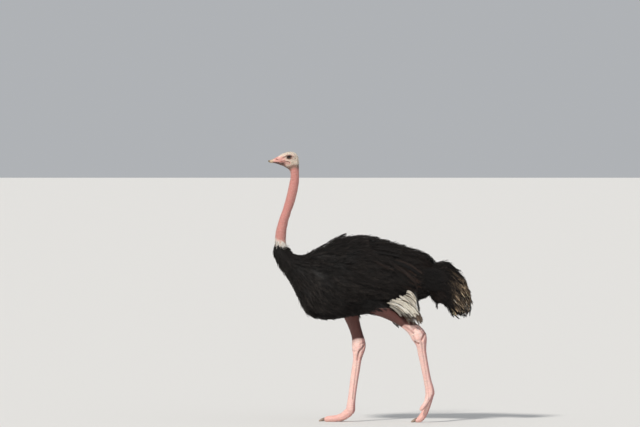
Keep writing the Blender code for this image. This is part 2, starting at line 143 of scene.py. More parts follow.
LID_HALF_LENGTH, LID_HALF_HEIGHT = 0.0168, 0.0118
GAPE_LINE = ((-0.700, 2.0175), (-0.664, 2.0230), (-0.643, 2.0187), (-0.628, 2.0165), (-0.6185, 2.0050))
GAPE_CORNER = -0.6195
EAR = np.array((-0.5775, 2.043))


def curve_through(rows, s):
    """Rows of numbers read at the places s on a smooth curve through them."""
    rows = np.asarray(rows, float)
    s = np.clip(np.asarray(s, float), 0, len(rows) - 1)
    i = np.minimum(s.astype(int), len(rows) - 2)
    t = (s - i)[:, None]
    a, b, c, d = (rows[np.clip(i + k, 0, len(rows) - 1)] for k in (-1, 0, 1, 2))
    return 0.5 * (2 * b + (c - a) * t + (2 * a - 5 * b + 4 * c - d) * t ** 2
                  + (3 * b - a - 3 * c + d) * t ** 3)


def unit(v):
    return v / np.maximum(np.linalg.norm(v, axis=-1, keepdims=True), 1e-12)


def step_between(low, high, value):
    """0 below low, 1 above high, and a smooth slope between."""
    t = np.clip((value - low) / (high - low), 0, 1)
    return t * t * (3 - 2 * t)


def hump(value, centre, width):
    """Bell of height 1 round a centre."""
    return np.exp(-((value - centre) / width) ** 2)


def line_at(line, place):
    """Second number of a line's rows, read at a place along the first."""
    return np.interp(place, *zip(*line))


def points_of(mesh):
    place = np.empty(len(mesh.vertices) * 3)
    mesh.vertices.foreach_get("co", place)
    return place.reshape(-1, 3)


def facing_of(mesh):
    facing = np.empty(len(mesh.vertices) * 3)
    mesh.vertex_normals.foreach_get("vector", facing)
    return facing.reshape(-1, 3)


def corners_of(mesh):
    """Point numbers of a mesh's triangles."""
    mesh.calc_loop_triangles()
    corners = np.empty(len(mesh.loop_triangles) * 3, int)
    mesh.loop_triangles.foreach_get("vertices", corners)
    return corners.reshape(-1, 3)


def cad_triangles(*names):
    """Points and triangles of some CAD nodes, as one list."""
    points, faces, count = [], [], 0
    for name in names:
        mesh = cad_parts[name].data
        points.append(points_of(mesh))
        faces.append(corners_of(mesh) + count)
        count += len(mesh.vertices)
    return np.concatenate(points), np.concatenate(faces)


def tree_of(points, faces):
    """Search tree of some triangles."""
    return BVHTree.FromPolygons(points.tolist(), faces.tolist())


def mesh_of(name, points, faces):
    """Mesh from arrays of points and of triangles or quads."""
    mesh = bpy.data.meshes.new(name)
    corners = faces.shape[1]
    mesh.vertices.add(len(points))
    mesh.vertices.foreach_set("co", np.ascontiguousarray(points, np.float32).ravel())
    mesh.loops.add(faces.size)
    mesh.loops.foreach_set("vertex_index", np.ascontiguousarray(faces, np.int32).ravel())
    mesh.polygons.add(len(faces))
    mesh.polygons.foreach_set("loop_start", np.arange(0, faces.size, corners, dtype=np.int32))
    mesh.update(calc_edges=True)
    mesh.validate()
    return mesh


def move_points(mesh, p):
    mesh.vertices.foreach_set("co", p.astype(np.float32).ravel())
    mesh.update()


def face_outwards(mesh):
    """Turn every face of a closed mesh to the outside."""
    bm = bmesh.new()
    bm.from_mesh(mesh)
    bmesh.ops.recalc_face_normals(bm, faces=bm.faces)
    bm.to_mesh(mesh)
    bm.free()


def evaluated_mesh(made):
    """The object's mesh with its modifiers applied; the object goes."""
    bpy.context.view_layer.update()
    graph = bpy.context.evaluated_depsgraph_get()
    mesh = bpy.data.meshes.new_from_object(made.evaluated_get(graph))
    old = made.data
    bpy.data.objects.remove(made)
    bpy.data.meshes.remove(old)
    return mesh


def relax(mesh, points, rounds, pull=0.5, push=-0.52):
    """Smooth points along the mesh's edges without shrinking the form."""
    ends = np.empty(len(mesh.edges) * 2, int)
    mesh.edges.foreach_get("vertices", ends)
    a, b = ends.reshape(-1, 2).T
    degree = np.bincount(np.concatenate((a, b)), minlength=len(points))[:, None]
    for n in range(rounds * 2):
        total = np.zeros_like(points)
        for axis in range(3):
            total[:, axis] = (np.bincount(a, points[b, axis], len(points))
                              + np.bincount(b, points[a, axis], len(points)))
        points = points + (total / degree - points) * (pull if n % 2 == 0 else push)
    return points


def fused(names, voxel, rounds):
    """Some CAD nodes fused into one smooth closed mesh."""
    points, faces = cad_triangles(*names)
    soup = add_object("soup", mesh_of("soup", points, faces))
    bm = bmesh.new()
    bm.from_mesh(soup.data)
    bmesh.ops.remove_doubles(bm, verts=bm.verts, dist=1e-6)
    bm.to_mesh(soup.data)
    bm.free()
    remesh = soup.modifiers.new("fuse", "REMESH")
    remesh.mode = "VOXEL"
    remesh.voxel_size = voxel
    mesh = evaluated_mesh(soup)
    bm = bmesh.new()
    bm.from_mesh(mesh)
    keep_largest(bm)
    bm.to_mesh(mesh)
    bm.free()
    move_points(mesh, relax(mesh, points_of(mesh), rounds))
    return mesh


def keep_largest(bm):
    """Drop every loose piece but the largest."""
    left = set(bm.verts)
    pieces = []
    while left:
        front = [left.pop()]
        piece = list(front)
        while front:
            vert = front.pop()
            for edge in vert.link_edges:
                other = edge.other_vert(vert)
                if other in left:
                    left.remove(other)
                    front.append(other)
                    piece.append(other)
        pieces.append(piece)
    pieces.sort(key=len)
    bmesh.ops.delete(bm, geom=[v for piece in pieces[:-1] for v in piece], context="VERTS")


def average(radii, rounds_round, rounds_along):
    """Even out a grid of radii round each ring and along the rings."""
    for _ in range(rounds_round):
        radii = (np.roll(radii, 1, 1) + 2 * radii + np.roll(radii, -1, 1)) / 4
    for _ in range(rounds_along):
        ends = np.concatenate((radii[:1], radii, radii[-1:]))
        radii = (ends[:-2] + 2 * ends[1:-1] + ends[2:]) / 4
    return radii


body_nodes = ["head", "bill_upper", "bill_lower", "neck_upper", "neck_lower", "neck_collar",
              "neck_base", "trunk", "wing_left", "wing_right", "tail"]
body_tree = tree_of(*cad_triangles(*body_nodes))
ring_places = np.concatenate((
    np.linspace(-BILL_LAP, HEAD_END, HEAD_RINGS, endpoint=False),
    np.linspace(HEAD_END, NECK_END, NECK_RINGS, endpoint=False),
    np.linspace(NECK_END, SPINE_END, TRUNK_RINGS)))
head_places, body_places = ring_places[:HEAD_RINGS + 1], ring_places[HEAD_RINGS:]


def way_out(start, ray, reach):
    """How far a ray from inside the solids goes before it leaves them, hairline gaps aside."""
    gone = 0.0
    while True:
        hit = body_tree.ray_cast(start + ray * gone, ray, reach)
        if hit[0] is None:
            return math.nan
        gone += hit[3] + 1e-5
        if hit[1].dot(ray) > 0 and body_tree.ray_cast(start + ray * gone, ray, 0.004)[0] is None:
            return gone


def wrap(places, sides):
    """Rings of radii from the spine out to the solids, first met from outside."""
    spine = curve_through(SPINE, np.maximum(places, 0))
    reach = np.interp(places, (0, 6, 9, 15, 17, 20, 30), (0.09, 0.10, 0.08, 0.10, 0.22, 0.5, 0.5))
    spine[:, 0] += np.minimum(places, 0) * 0.028
    radii = np.full((len(places), sides), np.nan)
    for r, (y, z, lean) in enumerate(spine):
        rise = Vector((0, math.cos(math.radians(lean)), math.sin(math.radians(lean))))
        for k in range(sides):
            turn = 2 * math.pi * k / sides
            ray = Vector((math.cos(turn), 0, 0)) + rise * math.sin(turn)
            if NAPE_HOLLOW[0] < places[r] < NAPE_HOLLOW[1]:
                radii[r, k] = way_out(Vector((0, y, z)), ray, reach[r])
                continue
            hit = body_tree.ray_cast(Vector((0, y, z)) + ray * reach[r], -ray, reach[r])
            if hit[0] is not None:
                radii[r, k] = reach[r] - hit[3]
    for k in range(sides):
        known = ~np.isnan(radii[:, k])
        radii[:, k] = np.interp(np.arange(len(places)), np.flatnonzero(known), radii[known, k])
    return spine, radii


def ring_points(spine, radii):
    """Places of the rings' points."""
    turn = 2 * np.pi * np.arange(radii.shape[1]) / radii.shape[1]
    lean = np.radians(spine[:, 2])[:, None]
    up = radii * np.sin(turn)
    return np.stack((radii * np.cos(turn), spine[:, :1] + up * np.cos(lean),
                     spine[:, 1:2] + up * np.sin(lean)), axis=2)


spine_head, radii_head = wrap(head_places, HEAD_SIDES)
spine_body, radii_body = wrap(body_places, BODY_SIDES)
met_body = radii_body.copy()
radii_head = average(radii_head, 40, 22)
radii_body = average(radii_body, 12, 10)
depth_head, depth_body = (line_at(COAT_DEPTHS, places)[:, None] for places in (head_places, body_places))
radii_head -= depth_head
hollow = step_between(15.6, 16.4, body_places)[:, None]
radii_body -= hollow * np.maximum(radii_body - met_body, 0)
radii_body = np.maximum(radii_body - depth_body, THINNEST)
tail_taper = np.sqrt(np.clip((SPINE_END + 0.3 - body_places) / 2.3, 0, 1))[:, None]
radii_body *= tail_taper
# the edge of the face skin on the bill, a little uneven and drawn in
turn = np.arange(HEAD_SIDES) * 2 * np.pi / HEAD_SIDES
margin = 0.12 * np.sin(turn * 9) + 0.10 * np.sin(turn * 4 + 1.0)
lap = step_between(0.0, 1.0, (head_places[:, None] + BILL_LAP) / 0.30 - 0.6 * margin[None] - 0.1)
raised = (depth_head + 0.0003) * step_between(0.6, 0.1, head_places)[:, None]
radii_head += np.where(head_places[:, None] < 0.6, raised - 0.0011 * (1 - lap), 0)
head_grid = ring_points(spine_head, radii_head)
body_grid = ring_points(spine_body, radii_body)
body_grid[0] = head_grid[-1, ::2]


def shape_face(p):
    """Lids, brow, gape, ear and folds of the face, as moves of the skin's points."""
    p = p.copy()
    x, y, z = p[..., 0], p[..., 1], p[..., 2]
    side = np.sign(x)
    flank = step_between(0.010, 0.022, np.abs(x))
    # brow over the eye, hollow in front of it, cheek behind and below
    out = 0.0026 * hump(y, -0.632, 0.022) * hump(z, 2.0725, 0.0055)
    out -= 0.0022 * hump(y, -0.664, 0.016) * hump(z, 2.050, 0.0045)
    out += 0.0016 * hump(y, -0.600, 0.016) * hump(z, 2.020, 0.012)
    # gape: a groove with a lip on each side, turning down at its corner
    line = line_at(GAPE_LINE, y)
    run = step_between(GAPE_CORNER + 0.002, GAPE_CORNER - 0.003, y)
    out += run * (0.0014 * hump(z, line + 0.0045, 0.0030) + 0.0012 * hump(z, line - 0.0048, 0.0030)
                  - 0.0034 * hump(z, line, 0.0017))
    fold = 2.0035 - 0.10 * (y + 0.665)
    out -= 0.0014 * hump(z, fold, 0.0018) * hump(y, -0.645, 0.020)
    # ear opening with a soft rim
    ear = np.hypot((y - EAR[0]) / 1.0, (z - EAR[1]) / 1.3)
    out += 0.0012 * hump(ear, 0.0062, 0.0022) - 0.0060 * hump(ear, 0.0, 0.0034)
    # loose skin of the throat
    out += 0.0007 * np.sin(z * 620 + 3 * np.sin(y * 90)) * hump(z, 1.955, 0.022) * hump(y, -0.632, 0.02)
    p[..., 0] = x + side * flank * out
    # lids follow the eyeball; inside their edge the skin drops behind it
    dy, dz = p[..., 1] - EYE[1], p[..., 2] - EYE[2]
    oval = np.hypot(dy / LID_HALF_LENGTH, (dz - 0.06 * dy) / LID_HALF_HEIGHT)
    edge = (oval > 0.90) & (oval < 1.08)
    snap = np.where(edge, 1 / np.maximum(oval, 1e-6), 1)
    p[..., 1] = EYE[1] + dy * snap
    p[..., 2] = EYE[2] + dz * snap
    oval = np.where(edge, 1.0, oval)
    dy, dz = p[..., 1] - EYE[1], p[..., 2] - EYE[2]
    lid = EYE_RADIUS + 0.0011 + 0.0007 * hump(oval, 1.10, 0.10) - 0.0006 * hump(oval, 1.42, 0.08)
    over = EYE[0] + np.sqrt(np.maximum(lid ** 2 - dy ** 2 - dz ** 2, 0))
    behind = EYE[0] + np.sqrt(np.maximum((EYE_RADIUS - 0.0045) ** 2 - dy ** 2 - dz ** 2, 0)) - 0.003
    ahead = np.abs(p[..., 0])
    near = step_between(2.0, 1.25, oval)
    lidded = ahead + (np.maximum(over, ahead - 0.004) - ahead) * near
    socket = oval < 0.999
    deep = np.where(socket, np.minimum(behind, ahead), lidded)
    by_eye = (np.abs(x) > 0.012) & (oval < 2.0)
    p[..., 0] = np.where(by_eye, side * deep, p[..., 0])
    return p


head_grid[1:-1] = shape_face(head_grid[1:-1])



def ring_faces(first, rings, sides):
    """Quads between rings of points, numbered on from the first."""
    r, k = np.indices((rings, sides))
    n = (k + 1) % sides
    quads = np.stack((r * sides + k, (r + 1) * sides + k, (r + 1) * sides + n, r * sides + n), -1)
    return (quads.reshape(-1, 4) + first).tolist()


seam = HEAD_RINGS * HEAD_SIDES
first = seam + HEAD_SIDES
quads = ring_faces(0, HEAD_RINGS, HEAD_SIDES) + ring_faces(first, len(body_grid) - 2, BODY_SIDES)
triangles = []
for k in range(BODY_SIDES):         # the neck's rings have half as many points as the head's
    n = (k + 1) % BODY_SIDES
    a, b, c = seam + 2 * k, seam + 2 * k + 1, seam + (2 * k + 2) % HEAD_SIDES
    triangles += [(a, first + k, b), (b, first + k, first + n), (b, first + n, c)]
front_centre = head_grid[0].mean(0) + (0, 0.004, 0)
back_centre = body_grid[-1].mean(0) + (0, 0.004, 0)
last_ring = first + (len(body_grid) - 2) * BODY_SIDES
grid_points = np.concatenate((head_grid.reshape(-1, 3), body_grid[1:].reshape(-1, 3),
                              front_centre[None], back_centre[None]))
total = len(grid_points)
for k in range(HEAD_SIDES):
    triangles.append((total - 2, k, (k + 1) % HEAD_SIDES))
for k in range(BODY_SIDES):
    triangles.append((total - 1, last_ring + (k + 1) % BODY_SIDES, last_ring + k))
body_mesh = bpy.data.meshes.new("body")
body_mesh.from_pydata(grid_points.tolist(), [], quads + triangles)
body_mesh.update()
face_outwards(body_mesh)
skin = add_object("skin", body_mesh)
joined = []


def join_to_skin(made):
    """Join a closed piece on to the skin."""
    join = skin.modifiers.new("join", "BOOLEAN")
    join.operation = "UNION"
    join.solver = "MANIFOLD"
    join.object = made
    joined.append(made)


leg_nodes = {side: [part + side for part in (
    "shank_", "hock_", "tarsus_", "toe_inner_", "toe_outer_")] for side in ("left", "right")}
LEG_CREASES = {         # folds and tendon hollows round the hock: line (y, z), width, depth, darkness of the painted shade in them
    "left": (
        (((0.258, 0.752), (0.298, 0.722), (0.336, 0.692)), 0.0075, 0.0085, 0.80),
        (((0.340, 0.722), (0.354, 0.735), (0.372, 0.738), (0.394, 0.720)), 0.0060, 0.0045, 0.55),
        (((0.428, 0.694), (0.414, 0.668), (0.402, 0.640)), 0.0075, 0.0090, 0.85),
        (((0.348, 0.626), (0.362, 0.615), (0.378, 0.612)), 0.0075, 0.0080, 0.95),
        (((0.390, 0.636), (0.402, 0.606)), 0.0100, 0.0045, 0.45),
        (((0.334, 0.672), (0.350, 0.643)), 0.0055, 0.0045, 0.60),
        (((0.402, 0.600), (0.424, 0.450), (0.445, 0.300), (0.458, 0.180)), 0.0065, 0.0035, 0.30)),
    "right": (
        (((-0.044, 0.588), (-0.060, 0.566), (-0.081, 0.545), (-0.091, 0.515), (-0.095, 0.478)),
         0.0080, 0.0095, 0.85),
        (((-0.044, 0.614), (-0.066, 0.604)), 0.0055, 0.0045, 0.50),
        (((-0.140, 0.558), (-0.120, 0.545)), 0.0060, 0.0045, 0.50),
        # no fold here: only painted shade down the back of the right hock
        (((-0.040, 0.612), (-0.035, 0.570), (-0.044, 0.530), (-0.064, 0.490)), 0.0110, 0.0, 0.60),
        (((-0.095, 0.478), (-0.107, 0.380), (-0.119, 0.280), (-0.129, 0.180)), 0.0065, 0.0035, 0.30)),
}
LEG_KNOBS = {           # ends of the bones under the skin: place (y, z), radius, height
    "left": ((0.378, 0.700, 0.024, 0.0055), (0.362, 0.648, 0.018, 0.0035), (0.410, 0.742, 0.018, 0.003)),
    "right": ((-0.108, 0.582, 0.026, 0.0055), (-0.060, 0.618, 0.016, 0.003), (-0.060, 0.520, 0.012, 0.003)),
}
WRINKLE_DEPTH = 0.0010


def crease_depth(p, creases):
    """How deep the creases make some points, seen from the side, and how dark the painted shade in them is.
    """
    deep, dark = np.zeros(len(p)), np.zeros(len(p))
    for line, wide, depth, shade in creases:
        stops = 12 + int(np.ptp(line, 0).max() / (wide * 0.5))
        gap = np.full(len(p), 1.0)
        for y, z in curve_through(line, np.linspace(0, len(line) - 1, stops)):
            gap = np.minimum(gap, (p[:, 1] - y) ** 2 + (p[:, 2] - z) ** 2)
        gap = np.sqrt(gap)
        deep = np.maximum(deep, depth * hump(gap, 0, wide))
        dark = np.maximum(dark, shade * hump(gap, 0, wide * 0.9))
    return deep, dark


for side in ("left", "right"):
    leg_mesh = fused(leg_nodes[side], LEG_VOXEL, 14)
    p = points_of(leg_mesh)
    facing = facing_of(leg_mesh)
    deep = crease_depth(p, LEG_CREASES[side])[0] * step_between(0.15, 0.6, np.abs(facing[:, 0]))
    hock = cad_triangles("hock_" + side)[0].mean(0)
    near_hock = hump(np.linalg.norm(p - hock, axis=1), 0, 0.075)
    for y, z, wide, height in LEG_KNOBS[side]:
        knob = hump(np.hypot(p[:, 1] - y, p[:, 2] - z), 0, wide)
        deep -= height * knob * step_between(0.3, 0.8, np.abs(facing[:, 0]))
    wrinkle = np.sin((p[:, 2] + 0.4 * p[:, 1]) * 520 + 2 * np.sin(p[:, 1] * 150))
    deep += near_hock * (WRINKLE_DEPTH * wrinkle)
    move_points(leg_mesh, p - facing * deep[:, None])
    leg = add_object("leg", leg_mesh)
    thin = leg.modifiers.new("thin", "DECIMATE")
    thin.ratio = LEG_SHARE
    join_to_skin(add_object("leg", evaluated_mesh(leg)))


def on_eyeball(flat, rise, stand):
    """Places that stand off the eyeball, from how far along and above its middle they are."""
    return np.stack((np.sqrt((EYE_RADIUS + stand) ** 2 - flat ** 2 - rise ** 2), flat, rise + 0.06 * flat), 1)


def lid_rim(sign, around=84, section=10):
    """Rim of the lids: a soft ring that lies on the eyeball, fuller above than below."""
    a = 2 * np.pi * np.arange(around) / around
    rise = LID_HALF_HEIGHT * 1.05 * np.sin(a) * np.abs(np.sin(a)) ** 0.12
    flat = LID_HALF_LENGTH * 1.05 * np.cos(a)
    line = on_eyeball(flat, rise, 0.0006)
    out = unit(line)
    across = np.cross(unit(np.roll(line, -1, 0) - np.roll(line, 1, 0)), out)
    thick = np.where(rise > 0, 0.0017, 0.0013)[:, None, None]
    b = (2 * np.pi * np.arange(section) / section)[None, :, None]
    points = EYE + line[:, None] + thick * (out[:, None] * np.cos(b) + across[:, None] * np.sin(b))
    k, j = np.indices((around, section))
    k_next, j_next = (k + 1) % around * section, (j + 1) % section
    faces = np.stack((k * section + j, k_next + j, k_next + j_next, k * section + j_next), -1)
    mesh = mesh_of("lid", points.reshape(-1, 3) * (sign, 1, 1), faces.reshape(-1, 4))
    face_outwards(mesh)
    return mesh


for sign in (1, -1):
    join_to_skin(add_object("lid", lid_rim(sign)))
skin_mesh = evaluated_mesh(skin)
for made in joined:
    bpy.data.objects.remove(made)
skin = add_object("skin", skin_mesh)
skin_mesh.shade_smooth()

NECK_PINK = np.array((0.525, 0.216, 0.187))
LEG_PINK = np.array((0.80, 0.54, 0.480))
# shanks: redder skin, darkened as painted shadow of the body
SHANK_MAROON_AND_SHADOW = np.array((0.205, 0.082, 0.066))
# painted shade in the creases of the legs
CREASE_SHADE = np.array((0.17, 0.060, 0.050))
FACE_CREAM = np.array((0.64, 0.53, 0.44))
BILL_PINK = np.array((0.66, 0.325, 0.275))
FACE_PINK = np.array((0.68, 0.35, 0.30))
LID_BROWN = np.array((0.150, 0.055, 0.040))
DUSKY = np.array((0.20, 0.11, 0.08))
GAPE_RED = np.array((0.19, 0.042, 0.032))
PLUME_BLACK = np.array((0.0060, 0.0050, 0.0045))
PLUME_WHITE = np.array((0.66, 0.60, 0.50))
LEG_BACK_SHADE = (0.58, 0.42, 0.44)           # painted shade on the backs of the legs: how much darker they are
# painted highlight on the hocks
HOCK_HIGHLIGHT = np.array((0.92, 0.66, 0.59))
TRUNK_FLOOR, THIGH_TOP = 0.80, 1.0      # heights between which legs and trunk lie side by side
leg_tree = tree_of(*cad_triangles(*leg_nodes["left"], *leg_nodes["right"]))
THIGH_EDGE = {          # where the coat ends on the thigh (y, z)
    "left": ((-0.05, 0.865), (0.0, 0.872), (0.05, 0.884), (0.15, 0.886), (0.22, 0.92), (0.3, 0.96)),
    "right": ((-0.2, 0.865), (-0.1, 0.865), (0.0, 0.865))}
SHANK_SHADOW_EDGE = {            # where the painted shadow of the body on the shank, over its maroon skin, gives way to the pink of the lower leg (y, z)
    "left": ((0.20, 0.71), (0.246, 0.740), (0.266, 0.758), (0.318, 0.752), (0.370, 0.755), (0.42, 0.75)),
    "right": ((-0.16, 0.622), (-0.138, 0.629), (-0.100, 0.645), (-0.040, 0.644))}


def on_leg(p):
    """1 on the legs, 0 on the trunk: by height, and by nearness to the thighs where they meet."""
    share = step_between(TRUNK_FLOOR, TRUNK_FLOOR - 0.01, p[:, 2])
    for k in np.flatnonzero((p[:, 2] >= TRUNK_FLOOR - 0.01) & (p[:, 2] < THIGH_TOP)):
        if leg_tree.find_nearest(p[k].tolist(), 0.004)[0] is not None:
            share[k] = 1.0
    edge = [line_at(THIGH_EDGE[side], p[:, 1]) for side in ("left", "right")]
    return share * step_between(0.006, -0.006, p[:, 2] - np.where(p[:, 0] > 0, *edge))


def tinted(colour, other, share):
    """Colours drawn towards another by a share of 0 to 1."""
    return colour + (other - colour) * np.asarray(share)[:, None]


def up_the_neck(y, z):
    """Height measured across the slant of the lower neck."""
    return z + 0.30 * (y + 0.69)


def up_the_head(y, z):
    """Height measured across the slant from chin to nape."""
    return z - 0.38 * (np.minimum(y, -0.59) + 0.60)


def uneven_round(x, y):
    """Waves from -1 to 1 round the neck, that make an edge ragged."""
    return np.sin(x * 230 + 1.5 * np.sin(y * 160))


def markings(p):
    """Colour of the bird's skin at some points, with the coat's colours where plumes grow over it."""
    x, y, z = p.T
    colour = np.tile(NECK_PINK, (len(p), 1))
    # legs: pink, with painted shadow of the body on the shanks, painted shade in the creases and a painted
    # highlight on the hocks
    behind_collar = step_between(-0.54, -0.56, y)
    leg = on_leg(p)
    colour = tinted(colour, LEG_PINK, leg)
    top = np.where(x > 0, line_at(SHANK_SHADOW_EDGE["left"], y), line_at(SHANK_SHADOW_EDGE["right"], y))
    low_leg = leg * step_between(0.008, -0.008, z - top)
    # painted shadow of the body on the shanks, darker on the left leg
    shank = SHANK_MAROON_AND_SHADOW * np.where(x[:, None] > 0, (0.50, 0.40, 0.38), (0.74, 0.68, 0.68))
    colour = tinted(colour, shank, leg - low_leg)
    # painted shade in the creases of the lower leg
    crease_shade = np.where(x > 0, *(crease_depth(p, LEG_CREASES[side])[1] for side in ("left", "right")))
    colour = tinted(colour, CREASE_SHADE, crease_shade * low_leg)
    # a painted highlight over the hock's bone ends, kept out of the creases
    hock = np.where(x > 0, np.hypot(y - 0.365, z - 0.680), np.hypot(y + 0.100, z - 0.590))
    colour = tinted(colour, HOCK_HIGHLIGHT, 0.8 * hump(hock, 0, 0.055) * low_leg * (1 - crease_shade))
    flush = 0.5 + 0.5 * np.sin(z * 61 + 2 * np.sin(y * 47) + x * 90)
    colour = tinted(colour, LEG_PINK * (1.0, 0.86, 0.86), 0.5 * flush * low_leg)
    colour = tinted(colour, LEG_PINK * (0.92, 0.72, 0.70), 0.6 * low_leg * step_between(0.16, 0.04, z))
    # head
    chin = up_the_head(y, z)
    head = step_between(1.982, 1.998, chin)
    colour = tinted(colour, FACE_CREAM, head)
    front = step_between(-0.640, -0.668, y) * head * step_between(2.066, 2.052, z)
    colour = tinted(colour, FACE_PINK, 0.85 * front)
    colour = tinted(colour, FACE_PINK, 0.7 * head * hump(z, 2.008, 0.016) * step_between(-0.598, -0.625, y))
    by_bill = step_between(-0.668, -0.690, y) * step_between(2.058, 2.050, z) * step_between(2.014, 2.020, z)
    colour = tinted(colour, BILL_PINK, 0.9 * by_bill * head)
    brow = hump(z, 2.068, 0.006) * hump(y, -0.632, 0.03)
    colour = tinted(colour, FACE_PINK * 1.05, 0.6 * brow * head)
    eye = np.hypot((y + 0.622) / 1.45, z - 2.052)
    colour = tinted(colour, LID_BROWN, 0.90 * head * hump(eye, 0.0120, 0.0062))
    # a dark streak ahead of the eye in its hollow, and brown patches behind and below the eye: partly darker
    # skin, partly painted shade
    streak = 2.0530 + 0.50 * (y + 0.6625)
    colour = tinted(colour, LID_BROWN * 1.1, 0.95 * head * hump(y, -0.6625, 0.018) * hump(z, streak, 0.0050))
    colour = tinted(colour, LID_BROWN * 2.0, 0.65 * head * hump(y, -0.592, 0.013) * hump(z, 2.058, 0.0055))
    colour = tinted(colour, LID_BROWN * 2.0, 0.55 * head * hump(y, -0.604, 0.010) * hump(z, 2.038, 0.0050))
    ear = np.hypot(y - EAR[0], (z - EAR[1]) / 1.3)
    colour = tinted(colour, DUSKY, 0.8 * head * hump(ear, 0, 0.0055))
    gape = hump(z, line_at(GAPE_LINE, y), 0.0034) * step_between(GAPE_CORNER + 0.003, GAPE_CORNER - 0.003, y)
    colour = tinted(colour, GAPE_RED, 0.95 * head * gape)
    # the lower jaw dark: partly dark skin, partly painted shade under the jaw
    jaw = step_between(2.016, 2.007, z - 0.10 * (y + 0.69))
    colour = tinted(colour, LID_BROWN * 0.5, 0.95 * jaw * step_between(-0.640, -0.672, y) * head)
    throat = step_between(1.992, 1.975, z + 0.45 * (y + 0.645)) * step_between(-0.600, -0.622, y)
    colour = tinted(colour, DUSKY * 0.8, 0.85 * throat * step_between(1.925, 1.955, z))
    nape = step_between(-0.572, -0.558, y) * hump(z, 1.983, 0.022)
    colour = tinted(colour, DUSKY * 0.5, 0.9 * nape)
    # a dark band round the top of the neck: partly duskier skin, partly painted shade under the head
    band = hump(chin, 1.978, 0.017)
    colour = tinted(colour, DUSKY * (0.95, 1.10, 1.10), 0.92 * band * (z > 1.90))
    # plumage: white collar, then black over neck base, trunk and tail
    along_neck = up_the_neck(y, z)
    body = (z > TRUNK_FLOOR) & (z < 1.60)
    white = 0.45 * step_between(1.424, 1.398, along_neck) + 0.55 * step_between(1.386, 1.370, along_neck)
    colour = tinted(colour, PLUME_WHITE, white * body * behind_collar)
    edge = along_neck - 0.012 * step_between(-0.69, -0.74, y) + 0.007 * uneven_round(x, y)
    black = np.maximum(step_between(1.364, 1.354, edge), 1 - behind_collar)
    colour = tinted(colour, PLUME_BLACK, black * body * (1 - leg))
    return colour


def set_tint(mesh, colour):
    """Store colours on a mesh's points."""
    layer = mesh.color_attributes.new("tint", "FLOAT_COLOR", "POINT")
    rgba = np.ones((len(colour), 4), np.float32)
    rgba[:, :3] = colour
    layer.data.foreach_set("color", rgba.ravel())


skin_points, skin_facing = points_of(skin_mesh), facing_of(skin_mesh)
skin_colour = markings(skin_points)
# painted shade on the leg sides that face backwards, below the trunk
back_shade = step_between(0.80, 0.72, skin_points[:, 2]) * step_between(0.2, 0.9, skin_facing[:, 1])
set_tint(skin_mesh, tinted(skin_colour, skin_colour * LEG_BACK_SHADE, back_shade))


def set_values(mesh, name, values):
    """Store a number, or three, for each point of a mesh."""
    kind, key = ("FLOAT", "value") if values.ndim == 1 else ("FLOAT_VECTOR", "vector")
    mesh.attributes.new(name, kind, "POINT").data.foreach_set(key, values.astype(np.float32).ravel())


def lowest(name):
    """Lowest point of a CAD node."""
    points = cad_triangles(name)[0]
    return points[points[:, 2].argmin()]


# Plates of the shins and toes: where they lie, and how far along the foot each point is.
SHIN_FRONT = np.array((0, -0.93, 0.37))
PLATES_TOP = 0.50
ankle = np.where(skin_points[:, :1] > 0, lowest("tarsus_left"), lowest("tarsus_right"))
run = np.linalg.norm((skin_points - ankle) * (0.3, 1, 1), axis=1)
front = step_between(0.25, 0.75, skin_facing @ SHIN_FRONT)
plates = front * step_between(PLATES_TOP, PLATES_TOP - 0.08, skin_points[:, 2]) * step_between(0.0, 0.02, run)
set_values(skin_mesh, "plates", plates)
set_values(skin_mesh, "run", run)


def new_group(name, ins, outs):
    """Empty node group with named sockets."""
    tree = bpy.data.node_groups.new(name, "ShaderNodeTree")
    for label, kind, value in ins:
        socket = tree.interface.new_socket(label, in_out="INPUT", socket_type=kind)
        socket.default_value = value
    for label, kind in outs:
        tree.interface.new_socket(label, in_out="OUTPUT", socket_type=kind)
    return tree, tree.nodes.new("NodeGroupInput"), tree.nodes.new("NodeGroupOutput")


def add_node(tree, kind, inputs=None, **settings):
    """Node with its settings and inputs; an input is a socket or a value."""
    node = tree.nodes.new(kind)
    for key, value in settings.items():
        setattr(node, key, value)
    for key, value in (inputs or {}).items():
        if isinstance(value, bpy.types.NodeSocket):
            tree.links.new(value, node.inputs[key])
        else:
            node.inputs[key].default_value = value
    return node


def reckon(tree, operation, a, b, kind="ShaderNodeMath", **settings):
    """Result of a sum on two sockets or values."""
    return add_node(tree, kind, {0: a, 1: b}, operation=operation, **settings).outputs[0]


def tint_of(tree):
    """The colour that a piece's points carry."""
    return add_node(tree, "ShaderNodeAttribute", attribute_name="tint").outputs["Color"]


# Skin grain: a net of fine creases over softer lumps, used on skin, horn and claws.
grain_tree, grain_in, grain_out = new_group(
    "skin_grain",
    (("Vector", "NodeSocketVector", (0, 0, 0)), ("Cells", "NodeSocketFloat", 400.0),
     ("Creases", "NodeSocketFloat", 0.6)),
    (("Height", "NodeSocketFloat"), ("Mottle", "NodeSocketFloat")))
cells = add_node(grain_tree, "ShaderNodeTexVoronoi",
                 {"Vector": grain_in.outputs["Vector"], "Scale": grain_in.outputs["Cells"]},
                 feature="DISTANCE_TO_EDGE")
lumps = add_node(grain_tree, "ShaderNodeTexNoise",
                 {"Vector": grain_in.outputs["Vector"], "Scale": 60.0, "Detail": 6.0})
valley = reckon(grain_tree, "MULTIPLY", cells.outputs["Distance"], 5.0, use_clamp=True)
crease = reckon(grain_tree, "MULTIPLY", valley, grain_in.outputs["Creases"])
height = reckon(grain_tree, "ADD", crease, lumps.outputs["Fac"])
grain_tree.links.new(height, grain_out.inputs["Height"])
grain_tree.links.new(lumps.outputs["Fac"], grain_out.inputs["Mottle"])


